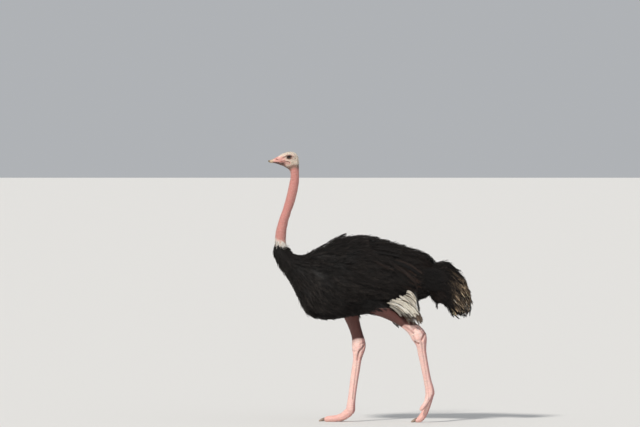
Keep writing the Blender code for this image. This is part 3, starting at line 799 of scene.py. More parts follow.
def tinted_material(name, roughness, cells_per_m, creases, stretch, bump, mottle):
    """Skin or horn: the piece's own tint, mottled, with creased grain as bump."""
    material, shader = node_material(name, roughness)
    tree = material.node_tree
    place = add_node(tree, "ShaderNodeTexCoord")
    mapping = add_node(tree, "ShaderNodeMapping", {"Vector": place.outputs["Object"], "Scale": stretch})
    grain = add_node(tree, "ShaderNodeGroup", node_tree=grain_tree)
    tree.links.new(mapping.outputs["Vector"], grain.inputs["Vector"])
    grain.inputs["Cells"].default_value = cells_per_m
    grain.inputs["Creases"].default_value = creases
    shade = add_node(tree, "ShaderNodeMapRange", {
        "Value": grain.outputs["Mottle"], "From Min": 0.3, "From Max": 0.7,
        "To Min": 1 - mottle, "To Max": 1 + mottle})
    colour = reckon(tree, "MULTIPLY", tint_of(tree), shade.outputs["Result"], "ShaderNodeVectorMath")
    relief = add_node(tree, "ShaderNodeBump", {
        "Height": grain.outputs["Height"], "Strength": 0.6, "Distance": bump})
    tree.links.new(colour, shader.inputs["Base Color"])
    tree.links.new(relief.outputs["Normal"], shader.inputs["Normal"])
    return material, shader


PLATES_PER_M = 95.0
PLATE_HEIGHT = 0.0016
skin_material, skin_shader = tinted_material("skin", 0.58, 330.0, 0.8, (1.0, 1.0, 1.9), 0.0008, 0.10)
skin_tree = skin_material.node_tree
plates_at = add_node(skin_tree, "ShaderNodeAttribute", attribute_name="plates")
run_at = add_node(skin_tree, "ShaderNodeAttribute", attribute_name="run")
rows = reckon(skin_tree, "MULTIPLY", run_at.outputs["Fac"], PLATES_PER_M)
wave = reckon(skin_tree, "PINGPONG", rows, 0.5)
crown = reckon(skin_tree, "MULTIPLY", wave, 5.0, use_clamp=True)
plate = reckon(skin_tree, "MULTIPLY", crown, plates_at.outputs["Fac"])
fine = skin_shader.inputs["Normal"].links[0].from_node
relief = add_node(skin_tree, "ShaderNodeBump", {
    "Height": plate, "Normal": fine.outputs["Normal"], "Strength": 0.7, "Distance": PLATE_HEIGHT})
skin_tree.links.new(relief.outputs["Normal"], skin_shader.inputs["Normal"])
skin_shader.inputs["Subsurface Weight"].default_value = 0.12
skin_shader.inputs["Subsurface Radius"].default_value = (0.012, 0.005, 0.003)
skin_shader.inputs["Subsurface Scale"].default_value = 0.5
skin_mesh.materials.clear()
skin_mesh.materials.append(skin_material)
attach(skin, "root")
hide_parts("head", "neck_upper", "neck_lower", "neck_collar", "neck_base", "trunk",
            *leg_nodes["left"], *leg_nodes["right"])

# Bill -------------------------------------------------------------------------------
# Upper and lower bill: flat, blunt horn, pink, with a grey-brown nail at the tip and a
# slit nostril on each side.  The horn is grown on the jaw bones and fixed to the head.
NOSTRIL = np.array((-0.7205, 2.0365))
NAIL_GREY = np.array((0.17, 0.125, 0.075))
HORN_TAN = np.array((0.52, 0.37, 0.24))
NOSTRIL_DARK = DUSKY * (0.85, 0.3, 0.35)


def from_nostril(y, z):
    """Distance from the slit of the nostril, three times as long as it is high."""
    return np.hypot((y - NOSTRIL[0]) / 3.2, z - NOSTRIL[1] + 0.12 * (y - NOSTRIL[0]))


def shape_bill(p):
    """Nostrils, the groove ahead of them and the edge of the nail."""
    x, y, z = p.T
    side = np.sign(x)
    flank = step_between(0.006, 0.014, np.abs(x))
    sunk = 0.0045 * hump(from_nostril(y, z), 0, 0.0028)
    sunk = sunk + 0.0009 * hump(y, -0.742, 0.012) * hump(z, 2.029, 0.0028)
    nail = 0.0007 * step_between(-0.762, -0.766, y)
    p = p.copy()
    p[:, 0] -= side * flank * sunk
    p[:, 2] += nail * step_between(2.02, 2.03, z)
    return p


bill_material, bill_shader = tinted_material("bill_horn", 0.42, 900.0, 0.25, (1.0, 1.0, 1.0), 0.0003, 0.12)
bill_shader.inputs["Coat Weight"].default_value = 0.15
for part in ("upper", "lower"):
    mesh = fused(["bill_" + part], 0.0010, 6)
    p = shape_bill(points_of(mesh))
    move_points(mesh, p)
    mesh.shade_smooth()
    y, z = p[:, 1], p[:, 2]
    colour = np.tile(BILL_PINK, (len(p), 1))
    downy = z - np.interp(y, (-0.713, -0.683), (2.0556, 2.0514))
    by_face = step_between(-0.722, -0.706, y)
    colour = tinted(colour, FACE_CREAM, 0.9 * step_between(-0.003, 0.003, downy) * by_face)
    colour = tinted(colour, HORN_TAN, step_between(-0.735, -0.756, y))
    colour = tinted(colour, NAIL_GREY, step_between(-0.766, -0.778, y))
    nostril = 0.95 * hump(from_nostril(y, z), 0, 0.0038) * (part == "upper")
    colour = tinted(colour, NOSTRIL_DARK, nostril)
    # the lower bill dark: partly dark horn, partly painted shade
    if part == "lower":
        colour = tinted(colour, LID_BROWN * 0.45, 0.95 * step_between(-0.760, -0.742, y))
    set_tint(mesh, colour)
    mesh.materials.append(bill_material)
    bill = add_object("bill_horn_" + part, mesh)
    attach(bill, "root")
    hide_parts("bill_" + part)

# Eyes -------------------------------------------------------------------------------
# Large dark brown eyes with a wide pupil, wet and glossy.  Each is a ball with a clear
# bulge over the iris, held in a round socket behind the lids.
PUPIL_RADIUS = 0.0070
IRIS_RADIUS = 0.0135
CORNEA_RISE = 0.0012
IRIS_DARK = (0.016, 0.006, 0.005)
IRIS_BROWN = np.array((0.038, 0.014, 0.009))
PUPIL_BLACK = np.array((0.003, 0.003, 0.003))
eye_material, eye_shader = node_material("eye", 0.12)
eye_tree = eye_material.node_tree
eye_tree.links.new(tint_of(eye_tree), eye_shader.inputs["Base Color"])
eye_shader.inputs["Coat Weight"].default_value = 0.3
eye_shader.inputs["Specular IOR Level"].default_value = 0.2
eye_shader.inputs["Coat Roughness"].default_value = 0.03
for side, sign in (("left", 1), ("right", -1)):
    ball = bmesh.new()
    bmesh.ops.create_uvsphere(ball, u_segments=64, v_segments=40, radius=EYE_RADIUS - 0.0002)
    mesh = bpy.data.meshes.new("eye")
    ball.to_mesh(mesh)
    ball.free()
    p = points_of(mesh)[:, [2, 1, 0]] * (sign, -1, 1)
    axis_gap = np.hypot(p[:, 1], p[:, 2])
    facing = p[:, 0] * sign > 0
    p[:, 0] += sign * CORNEA_RISE * step_between(IRIS_RADIUS, 0.004, axis_gap) * facing
    colour = np.tile(IRIS_DARK, (len(p), 1))
    fibres = 0.5 + 0.5 * np.sin(np.arctan2(p[:, 2], p[:, 1]) * 37)
    iris = (0.5 + 0.5 * fibres) * facing * step_between(IRIS_RADIUS, IRIS_RADIUS - 0.002, axis_gap)
    colour = tinted(colour, IRIS_BROWN, iris)
    pupil = facing * step_between(PUPIL_RADIUS + 0.0006, PUPIL_RADIUS - 0.0004, axis_gap)
    colour = tinted(colour, PUPIL_BLACK, pupil)
    move_points(mesh, p + EYE * (sign, 1, 1))
    set_tint(mesh, colour)
    face_outwards(mesh)
    mesh.shade_smooth()
    mesh.materials.append(eye_material)
    eye = add_object("eyeball_" + side, mesh)
    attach(eye, "root")
    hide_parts("eye_" + side)

# Claws ------------------------------------------------------------------------------
# One blunt claw on each large toe, brown horn worn pale at the tip.  It is grown on the
# toe's last bone and set in the skin.
CLAW_BROWN = (0.16, 0.105, 0.08)
CLAW_WORN = np.array((0.42, 0.33, 0.26))
claw_material = tinted_material("claw_horn", 0.48, 700.0, 0.3, (1.0, 0.35, 1.0), 0.0004, 0.15)[0]
for side in ("left", "right"):
    mesh = fused(["claw_" + side], 0.0010, 4)
    p = points_of(mesh)
    tip = step_between(p[:, 1].max(), p[:, 1].min(), p[:, 1])
    set_tint(mesh, tinted(np.tile(CLAW_BROWN, (len(p), 1)), CLAW_WORN, 0.8 * tip))
    mesh.shade_smooth()
    mesh.materials.append(claw_material)
    claw = add_object("claw_horn_" + side, mesh)
    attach(claw, "root")
    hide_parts("claw_" + side)

# Body plumage -----------------------------------------------------------------------
# Loose black plumes, each a thin shaft with free, soft barbs on both sides.  They root on
# the skin, rise through the coat and lie along the body like shingles, neck to tail.
FLOW_LINE = (           # the lie of the coat along the bird (y, z)
    (-0.690, 1.48), (-0.685, 1.40), (-0.655, 1.32), (-0.575, 1.23), (-0.43, 1.16), (-0.22, 1.125),
    (0.05, 1.13), (0.28, 1.14), (0.43, 1.13), (0.55, 1.09), (0.635, 1.02), (0.695, 0.93),
    (0.735, 0.84), (0.75, 0.78))
COAT_VOXEL = 0.009
BAKE_PATCH = 0.003      # how much of the unwrapped skin each plume takes up
CLEAR_OF_BIRD = 0.6     # how far to one side a place is clear of the coat
FLOW_STOPS, SPINE_STOPS = 240, 600
flow_line = curve_through(FLOW_LINE, np.linspace(0, len(FLOW_LINE) - 1, FLOW_STOPS))
spine_line = curve_through(SPINE, np.linspace(0, SPINE_END, SPINE_STOPS))
coat_nodes = ["neck_base", "trunk", "wing_left", "wing_right", "tail"]
coat_form = fused(coat_nodes, COAT_VOXEL, 8)
coat_points, coat_corners = points_of(coat_form), corners_of(coat_form)
coat_middles = coat_points[coat_corners].mean(1)
coat_tree = tree_of(coat_points, coat_corners)
node_of_face = np.concatenate([np.full(len(cad_triangles(name)[1]), k) for k, name in enumerate(coat_nodes)])
node_tree = tree_of(*cad_triangles(*coat_nodes))


def along_line(line, p):
    """Index of the line's point nearest to each place, seen from the side."""
    found = np.empty(len(p), int)
    for start in range(0, len(p), 20000):
        part = p[start:start + 20000, None, 1:]
        found[start:start + 20000] = ((part - line[None, :, :2]) ** 2).sum(2).argmin(1)
    return found


def root_map(p):
    """Place of a root on the unwrapped skin: round the spine and along it."""
    at = along_line(spine_line, p)
    lean = np.radians(spine_line[at, 2])
    up = (p[:, 1] - spine_line[at, 0]) * np.cos(lean) + (p[:, 2] - spine_line[at, 1]) * np.sin(lean)
    return np.stack((0.5 + np.arctan2(p[:, 0], -up) / (2 * np.pi) * 0.98,
                     0.01 + 0.98 * at / (SPINE_STOPS - 1)), 1)


def scatter(points, corners, wanted, rng, spread=0.62):
    """Places spread over triangles by area and kept apart from each other."""
    a, b, c = (points[corners[:, k]] for k in range(3))
    area = np.linalg.norm(np.cross(b - a, c - a), axis=1) / 2
    tries = wanted * 4
    face = rng.choice(len(area), tries, p=area / area.sum())
    s, t = rng.random((2, tries))
    flip = s + t > 1
    s, t = np.where(flip, 1 - s, s), np.where(flip, 1 - t, t)
    place = a[face] + (b - a)[face] * s[:, None] + (c - a)[face] * t[:, None]
    apart = spread * math.sqrt(area.sum() / wanted)
    cell = np.floor(place / apart).astype(int)
    taken, kept = {}, []
    for k, (key, spot) in enumerate(zip(map(tuple, cell), place)):
        near = (other for dx in (-1, 0, 1) for dy in (-1, 0, 1) for dz in (-1, 0, 1)
                for other in taken.get((key[0] + dx, key[1] + dy, key[2] + dz), ()))
        if all(abs(spot[0] - o[0]) + abs(spot[1] - o[1]) + abs(spot[2] - o[2]) > apart for o in near):
            taken.setdefault(key, []).append(spot)
            kept.append(k)
            if len(kept) == wanted:
                break
    return place[kept]


def settle(tree, place, pull):
    """Points drawn towards the surface of a form, and the form's normals there."""
    near = np.empty_like(place)
    normal = np.empty_like(place)
    for k, spot in enumerate(place.tolist()):
        hit = tree.find_nearest(spot)
        near[k], normal[k] = hit[0], hit[1]
    return place + (near - place) * pull, normal


def body_lie(droop, splay=0.02):
    """Lie of the coat: along the flow line, hanging a little, more on the breast, and splayed."""
    def lie(place):
        at = along_line(flow_line, place)
        way = np.zeros_like(place)
        way[:, 1:] = unit(flow_line[np.minimum(at + 1, FLOW_STOPS - 1)] - flow_line[np.maximum(at - 1, 0)])
        low_breast = step_between(1.20, 0.98, place[:, 2]) * step_between(-0.10, -0.38, place[:, 1])
        way[:, 2] -= droop + 0.9 * low_breast
        way[:, 0] += splay * np.sign(place[:, 0])
        return way
    return lie


def drift(p, size):
    """Smooth uneven values from -1 to 1 over some places, in lumps of about the given size."""
    a, b, c = (p * (3.0 / size)).T
    return np.clip(np.sin(a + 2.1 * np.sin(b * 0.7 + 1)) * np.sin(b + 1.6 * np.sin(c * 0.8))
                   + 0.6 * np.sin(c * 1.7 + 1.9 * np.sin(a * 0.6 + 2) + b * 0.9), -1, 1)


def grow(tree, roots, lengths, lie, depth, rng, pull=0.8, steps=7, stray=0.16, lift=0.004):
    """Paths of plumes that follow the lie of the coat over a form, with their normals."""
    count = len(roots)
    path = np.empty((count, steps + 1, 3))
    normals = np.empty_like(path)
    place = roots.copy()
    sway = rng.normal(0, stray, (count, 3))
    pace = np.reshape(lengths / steps, (-1, 1))
    heading = None
    for k in range(steps + 1):
        place, normal = settle(tree, place, pull if k else 1.0)
        path[:, k], normals[:, k] = place, normal
        want = unit(lie(place) + sway)
        heading = want if heading is None else unit(heading * 0.45 + want * 0.55)
        heading = unit(heading - normal * (heading * normal).sum(1, keepdims=True) * pull)
        place = place + heading * pace
    t = np.linspace(0, 1, steps + 1)
    rise = rng.normal(0, 0.4, count) + 1.0
    rise += 3.2 * np.clip(drift(roots, 0.035), 0, 1) ** 2 * rng.random(count)
    sink = np.reshape(depth, (-1, 1)) * (1 - t) ** 1.5 - lift * rise[:, None] * t ** 3
    return path - normals * sink[..., None], normals


def straight(roots, tips, steps=7):
    """Straight paths from roots to tips, and how far along them each stop is."""
    t = np.linspace(0, 1, steps + 1)
    return roots[:, None] * (1 - t)[:, None] + tips[:, None] * t[:, None], t


def steady(path, direction):
    """The same normal at every stop of some paths."""
    return unit(np.tile(direction, path.shape[:2] + (1,)))


def from_side(tree, sign, y, z, missed):
    """How far to one side a form reaches at a place."""
    hit = tree.ray_cast((CLEAR_OF_BIRD * sign, y, z), (-sign, 0, 0))[0]
    return missed if hit is None else hit[0]


def plume_arrays(path, normals, rng, colour, tip_colour, barbs, length, width, start=0.3,
                 angles=(48, 16), droop=0.10, shaft=0.0011, bend=0.45, edge_tone=1.0):
    """Triangles of plumes: a three-sided shaft and flat, pointed barbs in pairs."""
    count, stops = path.shape[:2]
    tangent = unit(np.gradient(path, axis=1))
    normal = unit(normals - tangent * (normals * tangent).sum(2, keepdims=True))
    across = np.cross(tangent, normal)
    t = np.linspace(0, 1, stops)
    # shafts
    marks = np.linspace(0, stops - 1, 5).round().astype(int)
    t = t[marks]
    girth = (shaft * (1 - 0.75 * t))[None, :-1, None]
    rings = np.stack([path[:, marks[:-1]] + girth * (across[:, marks[:-1]] * math.cos(a)
                                                     + normal[:, marks[:-1]] * math.sin(a))
                      for a in (math.pi / 2, math.pi * 7 / 6, math.pi * 11 / 6)], 2)
    shaft_points = np.concatenate((rings.reshape(count, -1, 3), path[:, -1:]), 1)
    one = [(0, 1, 2)]
    for r in range(len(marks) - 2):
        for k in range(3):
            n = (k + 1) % 3
            a, b, c, d = 3 * r + k, 3 * r + n, 3 * r + 3 + k, 3 * r + 3 + n
            one += [(a, c, b), (b, c, d)]
    last = 3 * (len(marks) - 2)
    one += [(last, last + 3, last + 1), (last + 1, last + 3, last + 2), (last + 2, last + 3, last)]
    per = shaft_points.shape[1]
    shaft_faces = (np.array(one)[None] + np.arange(count)[:, None, None] * per).reshape(-1, 3)
    shaft_tint = np.repeat(colour * 0.9, per, 0)
    shaft_t = np.concatenate((np.repeat(t[:-1], 3), [1.0]))
    shaft_local = np.stack((np.zeros(per), shaft_t - 0.5), 1)[None].repeat(count, 0).reshape(-1, 2)
    # barbs
    where = start + (1 - start) * (np.arange(barbs) + rng.random((count, barbs))) / barbs
    where = np.minimum(where, 0.995)
    spot = where * (stops - 1)
    low = np.minimum(spot.astype(int), stops - 2)
    part = (spot - low)[..., None]
    row = np.arange(count)[:, None]

    def read(values):
        return values[row, low] * (1 - part) + values[row, low + 1] * part

    base, head, up = read(path), unit(read(tangent)), unit(read(normal))
    side = np.where(rng.random((count, barbs)) < 0.5, -1.0, 1.0)
    side[:, ::2] = -side[:, 1::2][:, :side[:, ::2].shape[1]] if barbs % 2 == 0 else side[:, ::2]
    out = np.cross(head, up) * side[..., None]
    lean = np.radians(angles[0] + (angles[1] - angles[0]) * (where - start) / (1 - start)
                      + rng.normal(0, 8, where.shape))[..., None]
    tilt = rng.normal(0, 0.10, where.shape)[..., None]
    first = unit(head * np.cos(lean) + out * np.sin(lean) + up * tilt)
    second = unit(first * (1 - bend) + head * bend - up * (droop + 0.5 * tilt))
    reach = length * (0.62 + 0.38 * np.sin(np.pi * np.clip(where, 0, 1) ** 0.9))
    reach = (reach * (1 + rng.normal(0, 0.14, where.shape)))[..., None]
    wide = (width * (1 + rng.normal(0, 0.15, where.shape)))[..., None]
    middle = base + first * reach * 0.4
    tip = middle + second * reach * 0.6
    flank = unit(np.cross(up, first + second)) * wide / 2
    barb_points = np.stack((base, middle - flank, middle + flank, middle + up * wide * 0.4, tip), 2)
    one = np.array([(0, 2, 1), (0, 3, 2), (0, 1, 3), (1, 2, 4), (2, 3, 4), (3, 1, 4)])
    number = np.arange(count * barbs)[:, None, None] * 5 + len(shaft_points.reshape(-1, 3))
    barb_faces = (one[None] + number).reshape(-1, 3)
    vary = np.exp(rng.normal(0, 0.18, where.shape))[..., None]
    own = colour[:, None] * vary
    end = own + (tip_colour[:, None] - own) * step_between(0.2, 0.9, where)[..., None]
    # barbs painted darker at their roots by the shaft, a painted shade among the barbs; their tips take the
    # tip colour times edge_tone
    barb_tint = np.stack((own * 0.8,) + (own * 0.55 + end * 0.45,) * 3 + (end * edge_tone,), 2)
    spread = side * 0.5
    across_at = np.stack((spread * 0.1,) + (spread * 0.6,) * 3 + (spread,), 2)
    along_at = np.stack((where - 0.5,) * 5, 2)
    barb_local = np.stack((across_at, along_at), -1).reshape(-1, 2)
    points = np.concatenate((shaft_points.reshape(-1, 3), barb_points.reshape(-1, 3)))
    faces = np.concatenate((shaft_faces, barb_faces))
    tint = np.concatenate((shaft_tint, barb_tint.reshape(-1, 3)))
    home = root_map(path[:, 0])
    uv = np.concatenate((np.repeat(home, per, 0), np.repeat(home, barbs * 5, 0)))
    uv = uv + BAKE_PATCH * np.concatenate((shaft_local, barb_local))
    return points, faces, tint, uv


def coat_piece(name, batches, material, slot, *nodes):
    """One coat piece from arrays of plumes."""
    points, faces, tint, uv = zip(*batches)
    counts = np.cumsum([0] + [len(part) for part in points])
    faces = np.concatenate([part + count for part, count in zip(faces, counts)])
    points, tint, uv = np.concatenate(points), np.concatenate(tint), np.concatenate(uv)
    mesh = mesh_of(name, points, faces)
    layer = mesh.uv_layers.new(name="OFBake")
    layer.data.foreach_set("uv", uv[faces.ravel()].astype(np.float32).ravel())
    set_tint(mesh, np.clip(tint, 0, 1))
    mesh.materials.append(material)
    piece = add_object(name, mesh)
    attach(piece, "root")
    if nodes:
        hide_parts(*nodes)


def plume_material(name, roughness, sheen):
    """Soft plumes: the piece's own tint, with a constant sheen."""
    material, shader = node_material(name, roughness)
    tree = material.node_tree
    tree.links.new(tint_of(tree), shader.inputs["Base Color"])
    shader.inputs["Specular IOR Level"].default_value = 0.22
    shader.inputs["Sheen Weight"].default_value = sheen
    shader.inputs["Sheen Roughness"].default_value = 0.45
    return material


def plume_colours(count, base, rng, spread=0.25):
    """A colour for each plume, some lighter and some darker than the base."""
    return np.asarray(base) * np.exp(rng.normal(0, spread, count))[:, None]


black_plumes = plume_material("black_plumes", 0.72, 0.04)
BLACK = (0.0150, 0.0122, 0.0108)
BROWN_EDGE = np.array((0.060, 0.028, 0.018))
COAT_SHEEN_AND_SHADE = (        # painted sheen and painted shade on the coat (y, z), reach, how much brighter or darker
    (-0.47, 1.11, 0.035, 1.6), (-0.33, 1.12, 0.035, 1.0), (-0.16, 1.12, 0.040, 0.8),
    (-0.45, 0.98, 0.060, 0.5), (-0.40, 1.19, 0.060, -0.45), (-0.27, 1.19, 0.060, -0.45),
    (0.02, 1.36, 0.050, 0.4))
ROOTS, NAPE_PLUMES, THIGH_PLUMES, LAPPING_PLUMES = 4300, 230, 260, 70
BODY_PLUME = {"barbs": 27, "length": 0.034, "width": 0.0023, "start": 0.2}
NAPE_PLUME = {"barbs": 26, "length": 0.024, "width": 0.0019, "start": 0.08}
THIGH_PLUME = {"barbs": 22, "length": 0.028, "width": 0.0022, "start": 0.1}
LAPPING_PLUME = {"barbs": 20, "length": 0.026, "width": 0.0022, "start": 0.05}
rng = np.random.default_rng(11)
roots = scatter(coat_points, coat_corners, ROOTS, rng)
owner = np.array([node_of_face[node_tree.find_nearest(spot)[2]] for spot in roots.tolist()])
x, y, z = roots.T
on_tail = (owner == 4) & (y > 0.47)
on_wing = ((owner == 2) | (owner == 3)) & ~on_tail
plain = ~on_tail & ~on_wing
front = plain & (y < -0.30)
for name, chosen, seed in (
        ("plumage_neck", front & (z > 1.10), 21), ("plumage_breast", front & (z <= 1.10), 22),
        ("plumage_left", plain & (y >= -0.30) & (x > 0), 23),
        ("plumage_right", plain & (y >= -0.30) & (x <= 0), 24)):
    rng = np.random.default_rng(seed)
    own = roots[chosen]
    length = 0.150 * np.exp(rng.normal(0, 0.15, len(own)))
    length *= np.interp(own[:, 2], (0.8, 1.0, 1.3, 1.45), (0.9, 1.0, 0.9, 0.8))
    depth = np.interp(own[:, 2], (1.25, 1.40), (0.030, 0.026))
    depth *= np.interp(own[:, 1], (-0.66, -0.50), (0.45, 1))
    path, normals = grow(coat_tree, own, length, body_lie(0.10), depth, rng)
    colour = plume_colours(len(own), BLACK, rng, 0.38) * np.exp(0.35 * drift(own, 0.09))[:, None]
    # plumes low on the belly painted darker, a painted shade of the underside
    colour *= np.interp(own[:, 2], (0.82, 0.98), (0.50, 1.0))[:, None]
    # painted sheen and painted shade in patches over the coat
    for y, z, wide, bright in COAT_SHEEN_AND_SHADE:
        colour *= 1 + (bright * hump(np.hypot(own[:, 1] - y, own[:, 2] - z), 0, wide))[:, None]
    batches = [plume_arrays(path, normals, rng, colour, colour * 1.3, **BODY_PLUME)]
    if name == "plumage_neck":      # shorter plumes between the long ones
        top = (coat_middles[:, 2] > 1.24) & (coat_middles[:, 1] < -0.50) & (coat_middles[:, 2] < 1.40)
        own = scatter(coat_points, coat_corners[top], NAPE_PLUMES, rng, spread=0.5)
        path, normals = grow(coat_tree, own, rng.uniform(0.06, 0.09, len(own)), body_lie(0.10), 0.007, rng)
        colour = plume_colours(len(own), BLACK, rng)
        batches.append(plume_arrays(path, normals, rng, colour, colour * 1.2, **NAPE_PLUME))
    side = name.split("_")[1]
    if side in THIGH_EDGE:          # plumes of the upper thigh, down to the edge of the bare skin
        points, corners = cad_triangles("shank_" + side)
        high = points[corners].mean(1)
        over = high[:, 2] > line_at(THIGH_EDGE[side], high[:, 1])
        inner, out = settle(coat_tree, high, 1.0)
        over &= ((high - inner) * out).sum(1) > -0.020
        own = scatter(points, corners[over], THIGH_PLUMES, rng, spread=0.45)
        path, normals = grow(tree_of(points, corners), own, rng.uniform(0.05, 0.08, len(own)),
                             body_lie(0.25), 0.002, rng, pull=0.7)
        # darkened as painted shade on the upper thigh
        colour = plume_colours(len(own), BLACK, rng) * 0.45
        batches.append(plume_arrays(path, normals, rng, colour, colour, **THIGH_PLUME))
    if side == "left":              # plumes that lap from the belly over the front of the thigh
        outer = tree_of(*cad_triangles("trunk", "shank_left"))
        many = LAPPING_PLUMES
        begin = np.stack((rng.uniform(-0.13, -0.01, many), rng.uniform(0.868, 0.945, many)), 1)
        way = np.stack((rng.uniform(0.05, 0.08, many), rng.uniform(-0.028, -0.004, many)), 1)
        flat, t = straight(begin, begin + way)
        path = np.concatenate((np.zeros(flat.shape[:2] + (1,)), flat), 2)
        for k, stop in np.ndindex(flat.shape[:2]):
            path[k, stop, 0] = from_side(outer, 1, *flat[k, stop], missed=path[k, max(stop - 1, 0), 0])
        path[..., 0] += 0.006 * np.sin(np.pi * t) + 0.002 - 0.006 * (1 - t) ** 2
        # darkened as painted shade over the front of the thigh
        colour = plume_colours(many, BLACK, rng) * 0.45
        normals = steady(path, (1.0, 0.0, -0.3))
        batches.append(plume_arrays(path, normals, rng, colour, colour, **LAPPING_PLUME))
    coat_piece(name, batches, black_plumes, "black_plumes")

# Ruffled tufts ----------------------------------------------------------------------
# Small clumps of black plumes that the wind has lifted here and there over the coat, and
# one that stands up from the middle of the back.  They root beside the plumes they part.
RUFFLED = 54
STANDING = 30
TUFT_ROOT, TUFT_TIP = np.array((0.0, -0.300, 1.395)), np.array((0.0, -0.186, 1.462))
TUFT_PLUME = {"barbs": 24, "length": 0.020, "width": 0.0026, "start": 0.25}
rng = np.random.default_rng(27)
clump = scatter(coat_points, coat_corners, RUFFLED, rng, spread=0.5)
own = np.repeat(clump, 4, 0)
own += rng.normal(0, 0.005, own.shape)
path, normals = grow(coat_tree, own, rng.uniform(0.05, 0.08, len(own)), body_lie(0.10), 0.014, rng,
                     pull=0.6, stray=0.07, lift=0.009)
rooted = TUFT_ROOT + rng.normal(0, (0.010, 0.012, 0.002), (STANDING, 3))
tips = TUFT_TIP + np.stack((rng.normal(0, 0.009, STANDING), rng.uniform(-0.012, 0.004, STANDING),
                            -0.026 * rng.random(STANDING)), 1)
stand, t = straight(rooted, tips)
stand[..., 2] += 0.008 * np.sin(np.pi * t)
path = np.concatenate((path, stand))
normals = np.concatenate((normals, steady(stand, (0.0, -0.45, 0.9))))
colour = plume_colours(len(path), BLACK, rng)
coat_piece("plumage_tufts", [plume_arrays(path, normals, rng, colour, colour * 1.2, **TUFT_PLUME)],
           black_plumes, "black_plumes")

# Wings ------------------------------------------------------------------------------
# The folded wings' coverts and long drooping plumes, black with brown edges towards the
# rear, hanging over the roots of the white flight plumes.
LONG_PLUMES = 22
COVERT = {"barbs": 31, "length": 0.040, "width": 0.0022}
LONG_PLUME = {"barbs": 150, "length": 0.021, "width": 0.0018, "start": 0.12, "angles": (34, 12),
              "shaft": 0.0016, "edge_tone": 1.5}
SWEPT_PLUME = {"barbs": 150, "length": 0.022, "width": 0.0022, "start": 0.1, "angles": (30, 12),
               "shaft": 0.0016}
SWEPT_BROWN = (0.062, 0.037, 0.028)
SWEPT_STOPS = 13
SWEEPS = (              # long loose plumes over the folded wing (y, z), how many, brownness
    (((0.185, 1.215), (0.240, 1.187), (0.300, 1.142), (0.345, 1.098), (0.366, 1.040)), 6, 1.0),
    (((0.200, 1.262), (0.274, 1.236), (0.352, 1.194), (0.395, 1.160)), 4, 0.8),
    (((0.190, 1.245), (0.290, 1.205), (0.378, 1.150)), 4, 0.0),
    (((0.02, 1.322), (0.12, 1.312), (0.22, 1.290)), 4, 0.0),
    (((0.03, 1.352), (0.13, 1.340), (0.23, 1.312)), 3, 0.10))
LONG_ROOTS = ((-0.10, 1.345), (0.04, 1.335), (0.15, 1.275), (0.19, 1.19), (0.17, 1.10))
for side, number, sign in (("left", 2, 1), ("right", 3, -1)):
    rng = np.random.default_rng(30 + number)
    own = roots[on_wing & (x * sign > 0)]
    rear = step_between(-0.05, 0.36, own[:, 1])
    length = (0.15 + 0.09 * rear) * np.exp(rng.normal(0, 0.12, len(own)))
    path, normals = grow(coat_tree, own, length, body_lie(0.38), 0.030, rng, pull=0.75)
    colour = plume_colours(len(own), BLACK, rng, 0.38) * np.exp(0.3 * drift(own, 0.08))[:, None]
    brown = step_between(0.1, 0.4, own[:, 1]) * rng.random(len(own)) ** 1.5
    tip = tinted(colour * 1.25, BROWN_EDGE, 0.10 + 0.80 * brown)
    batches = [plume_arrays(path, normals, rng, colour, tip, **COVERT)]
    # long plumes laid over the coverts, one below the other, each with a paler brown edge
    t = (np.arange(LONG_PLUMES) + 0.5) / LONG_PLUMES
    flat = curve_through(LONG_ROOTS, t * (len(LONG_ROOTS) - 1))
    own = np.column_stack((np.full(LONG_PLUMES, 0.30 * sign), flat))
    own[:, 1:] += rng.normal(0, 0.008, (LONG_PLUMES, 2))
    path, normals = grow(coat_tree, own, rng.uniform(0.22, 0.30, LONG_PLUMES), body_lie(0.62), -0.003, rng,
                         pull=0.85, steps=12, stray=0.05, lift=0.010)
    colour = plume_colours(LONG_PLUMES, (0.011, 0.009, 0.008), rng, 0.2)
    pale = rng.random(LONG_PLUMES)[:, None] ** 2
    tip = colour + (BROWN_EDGE * 2.6 - colour) * pale
    batches.append(plume_arrays(path, normals, rng, colour, tip, **LONG_PLUME))
    for line, count, brown in SWEEPS:
        flat = curve_through(line, np.linspace(0, len(line) - 1, SWEPT_STOPS))[None]
        flat = flat + rng.normal(0, 0.006, (count, 1, 2))
        path = np.concatenate((np.zeros(flat.shape[:2] + (1,)), flat), 2)
        for k in np.ndindex(flat.shape[:2]):
            path[k][0] = from_side(coat_tree, sign, *flat[k], missed=0.23 * sign) + 0.010 * sign
        path[..., 0] += sign * 0.006 * np.sin(np.pi * np.linspace(0, 1, SWEPT_STOPS))
        colour = plume_colours(count, (0.008, 0.0065, 0.006), rng, 0.1)
        tip = colour + (SWEPT_BROWN - colour) * brown * rng.uniform(0.4, 1.2, (count, 1))
        colour = colour + (tip - colour) * 0.6
        normals = steady(path, (sign, 0.0, 0.25))
        batches.append(plume_arrays(path, normals, rng, colour, tip, **SWEPT_PLUME))
    coat_piece("wing_plumage_" + side, batches, black_plumes, "black_plumes", "wing_" + side)

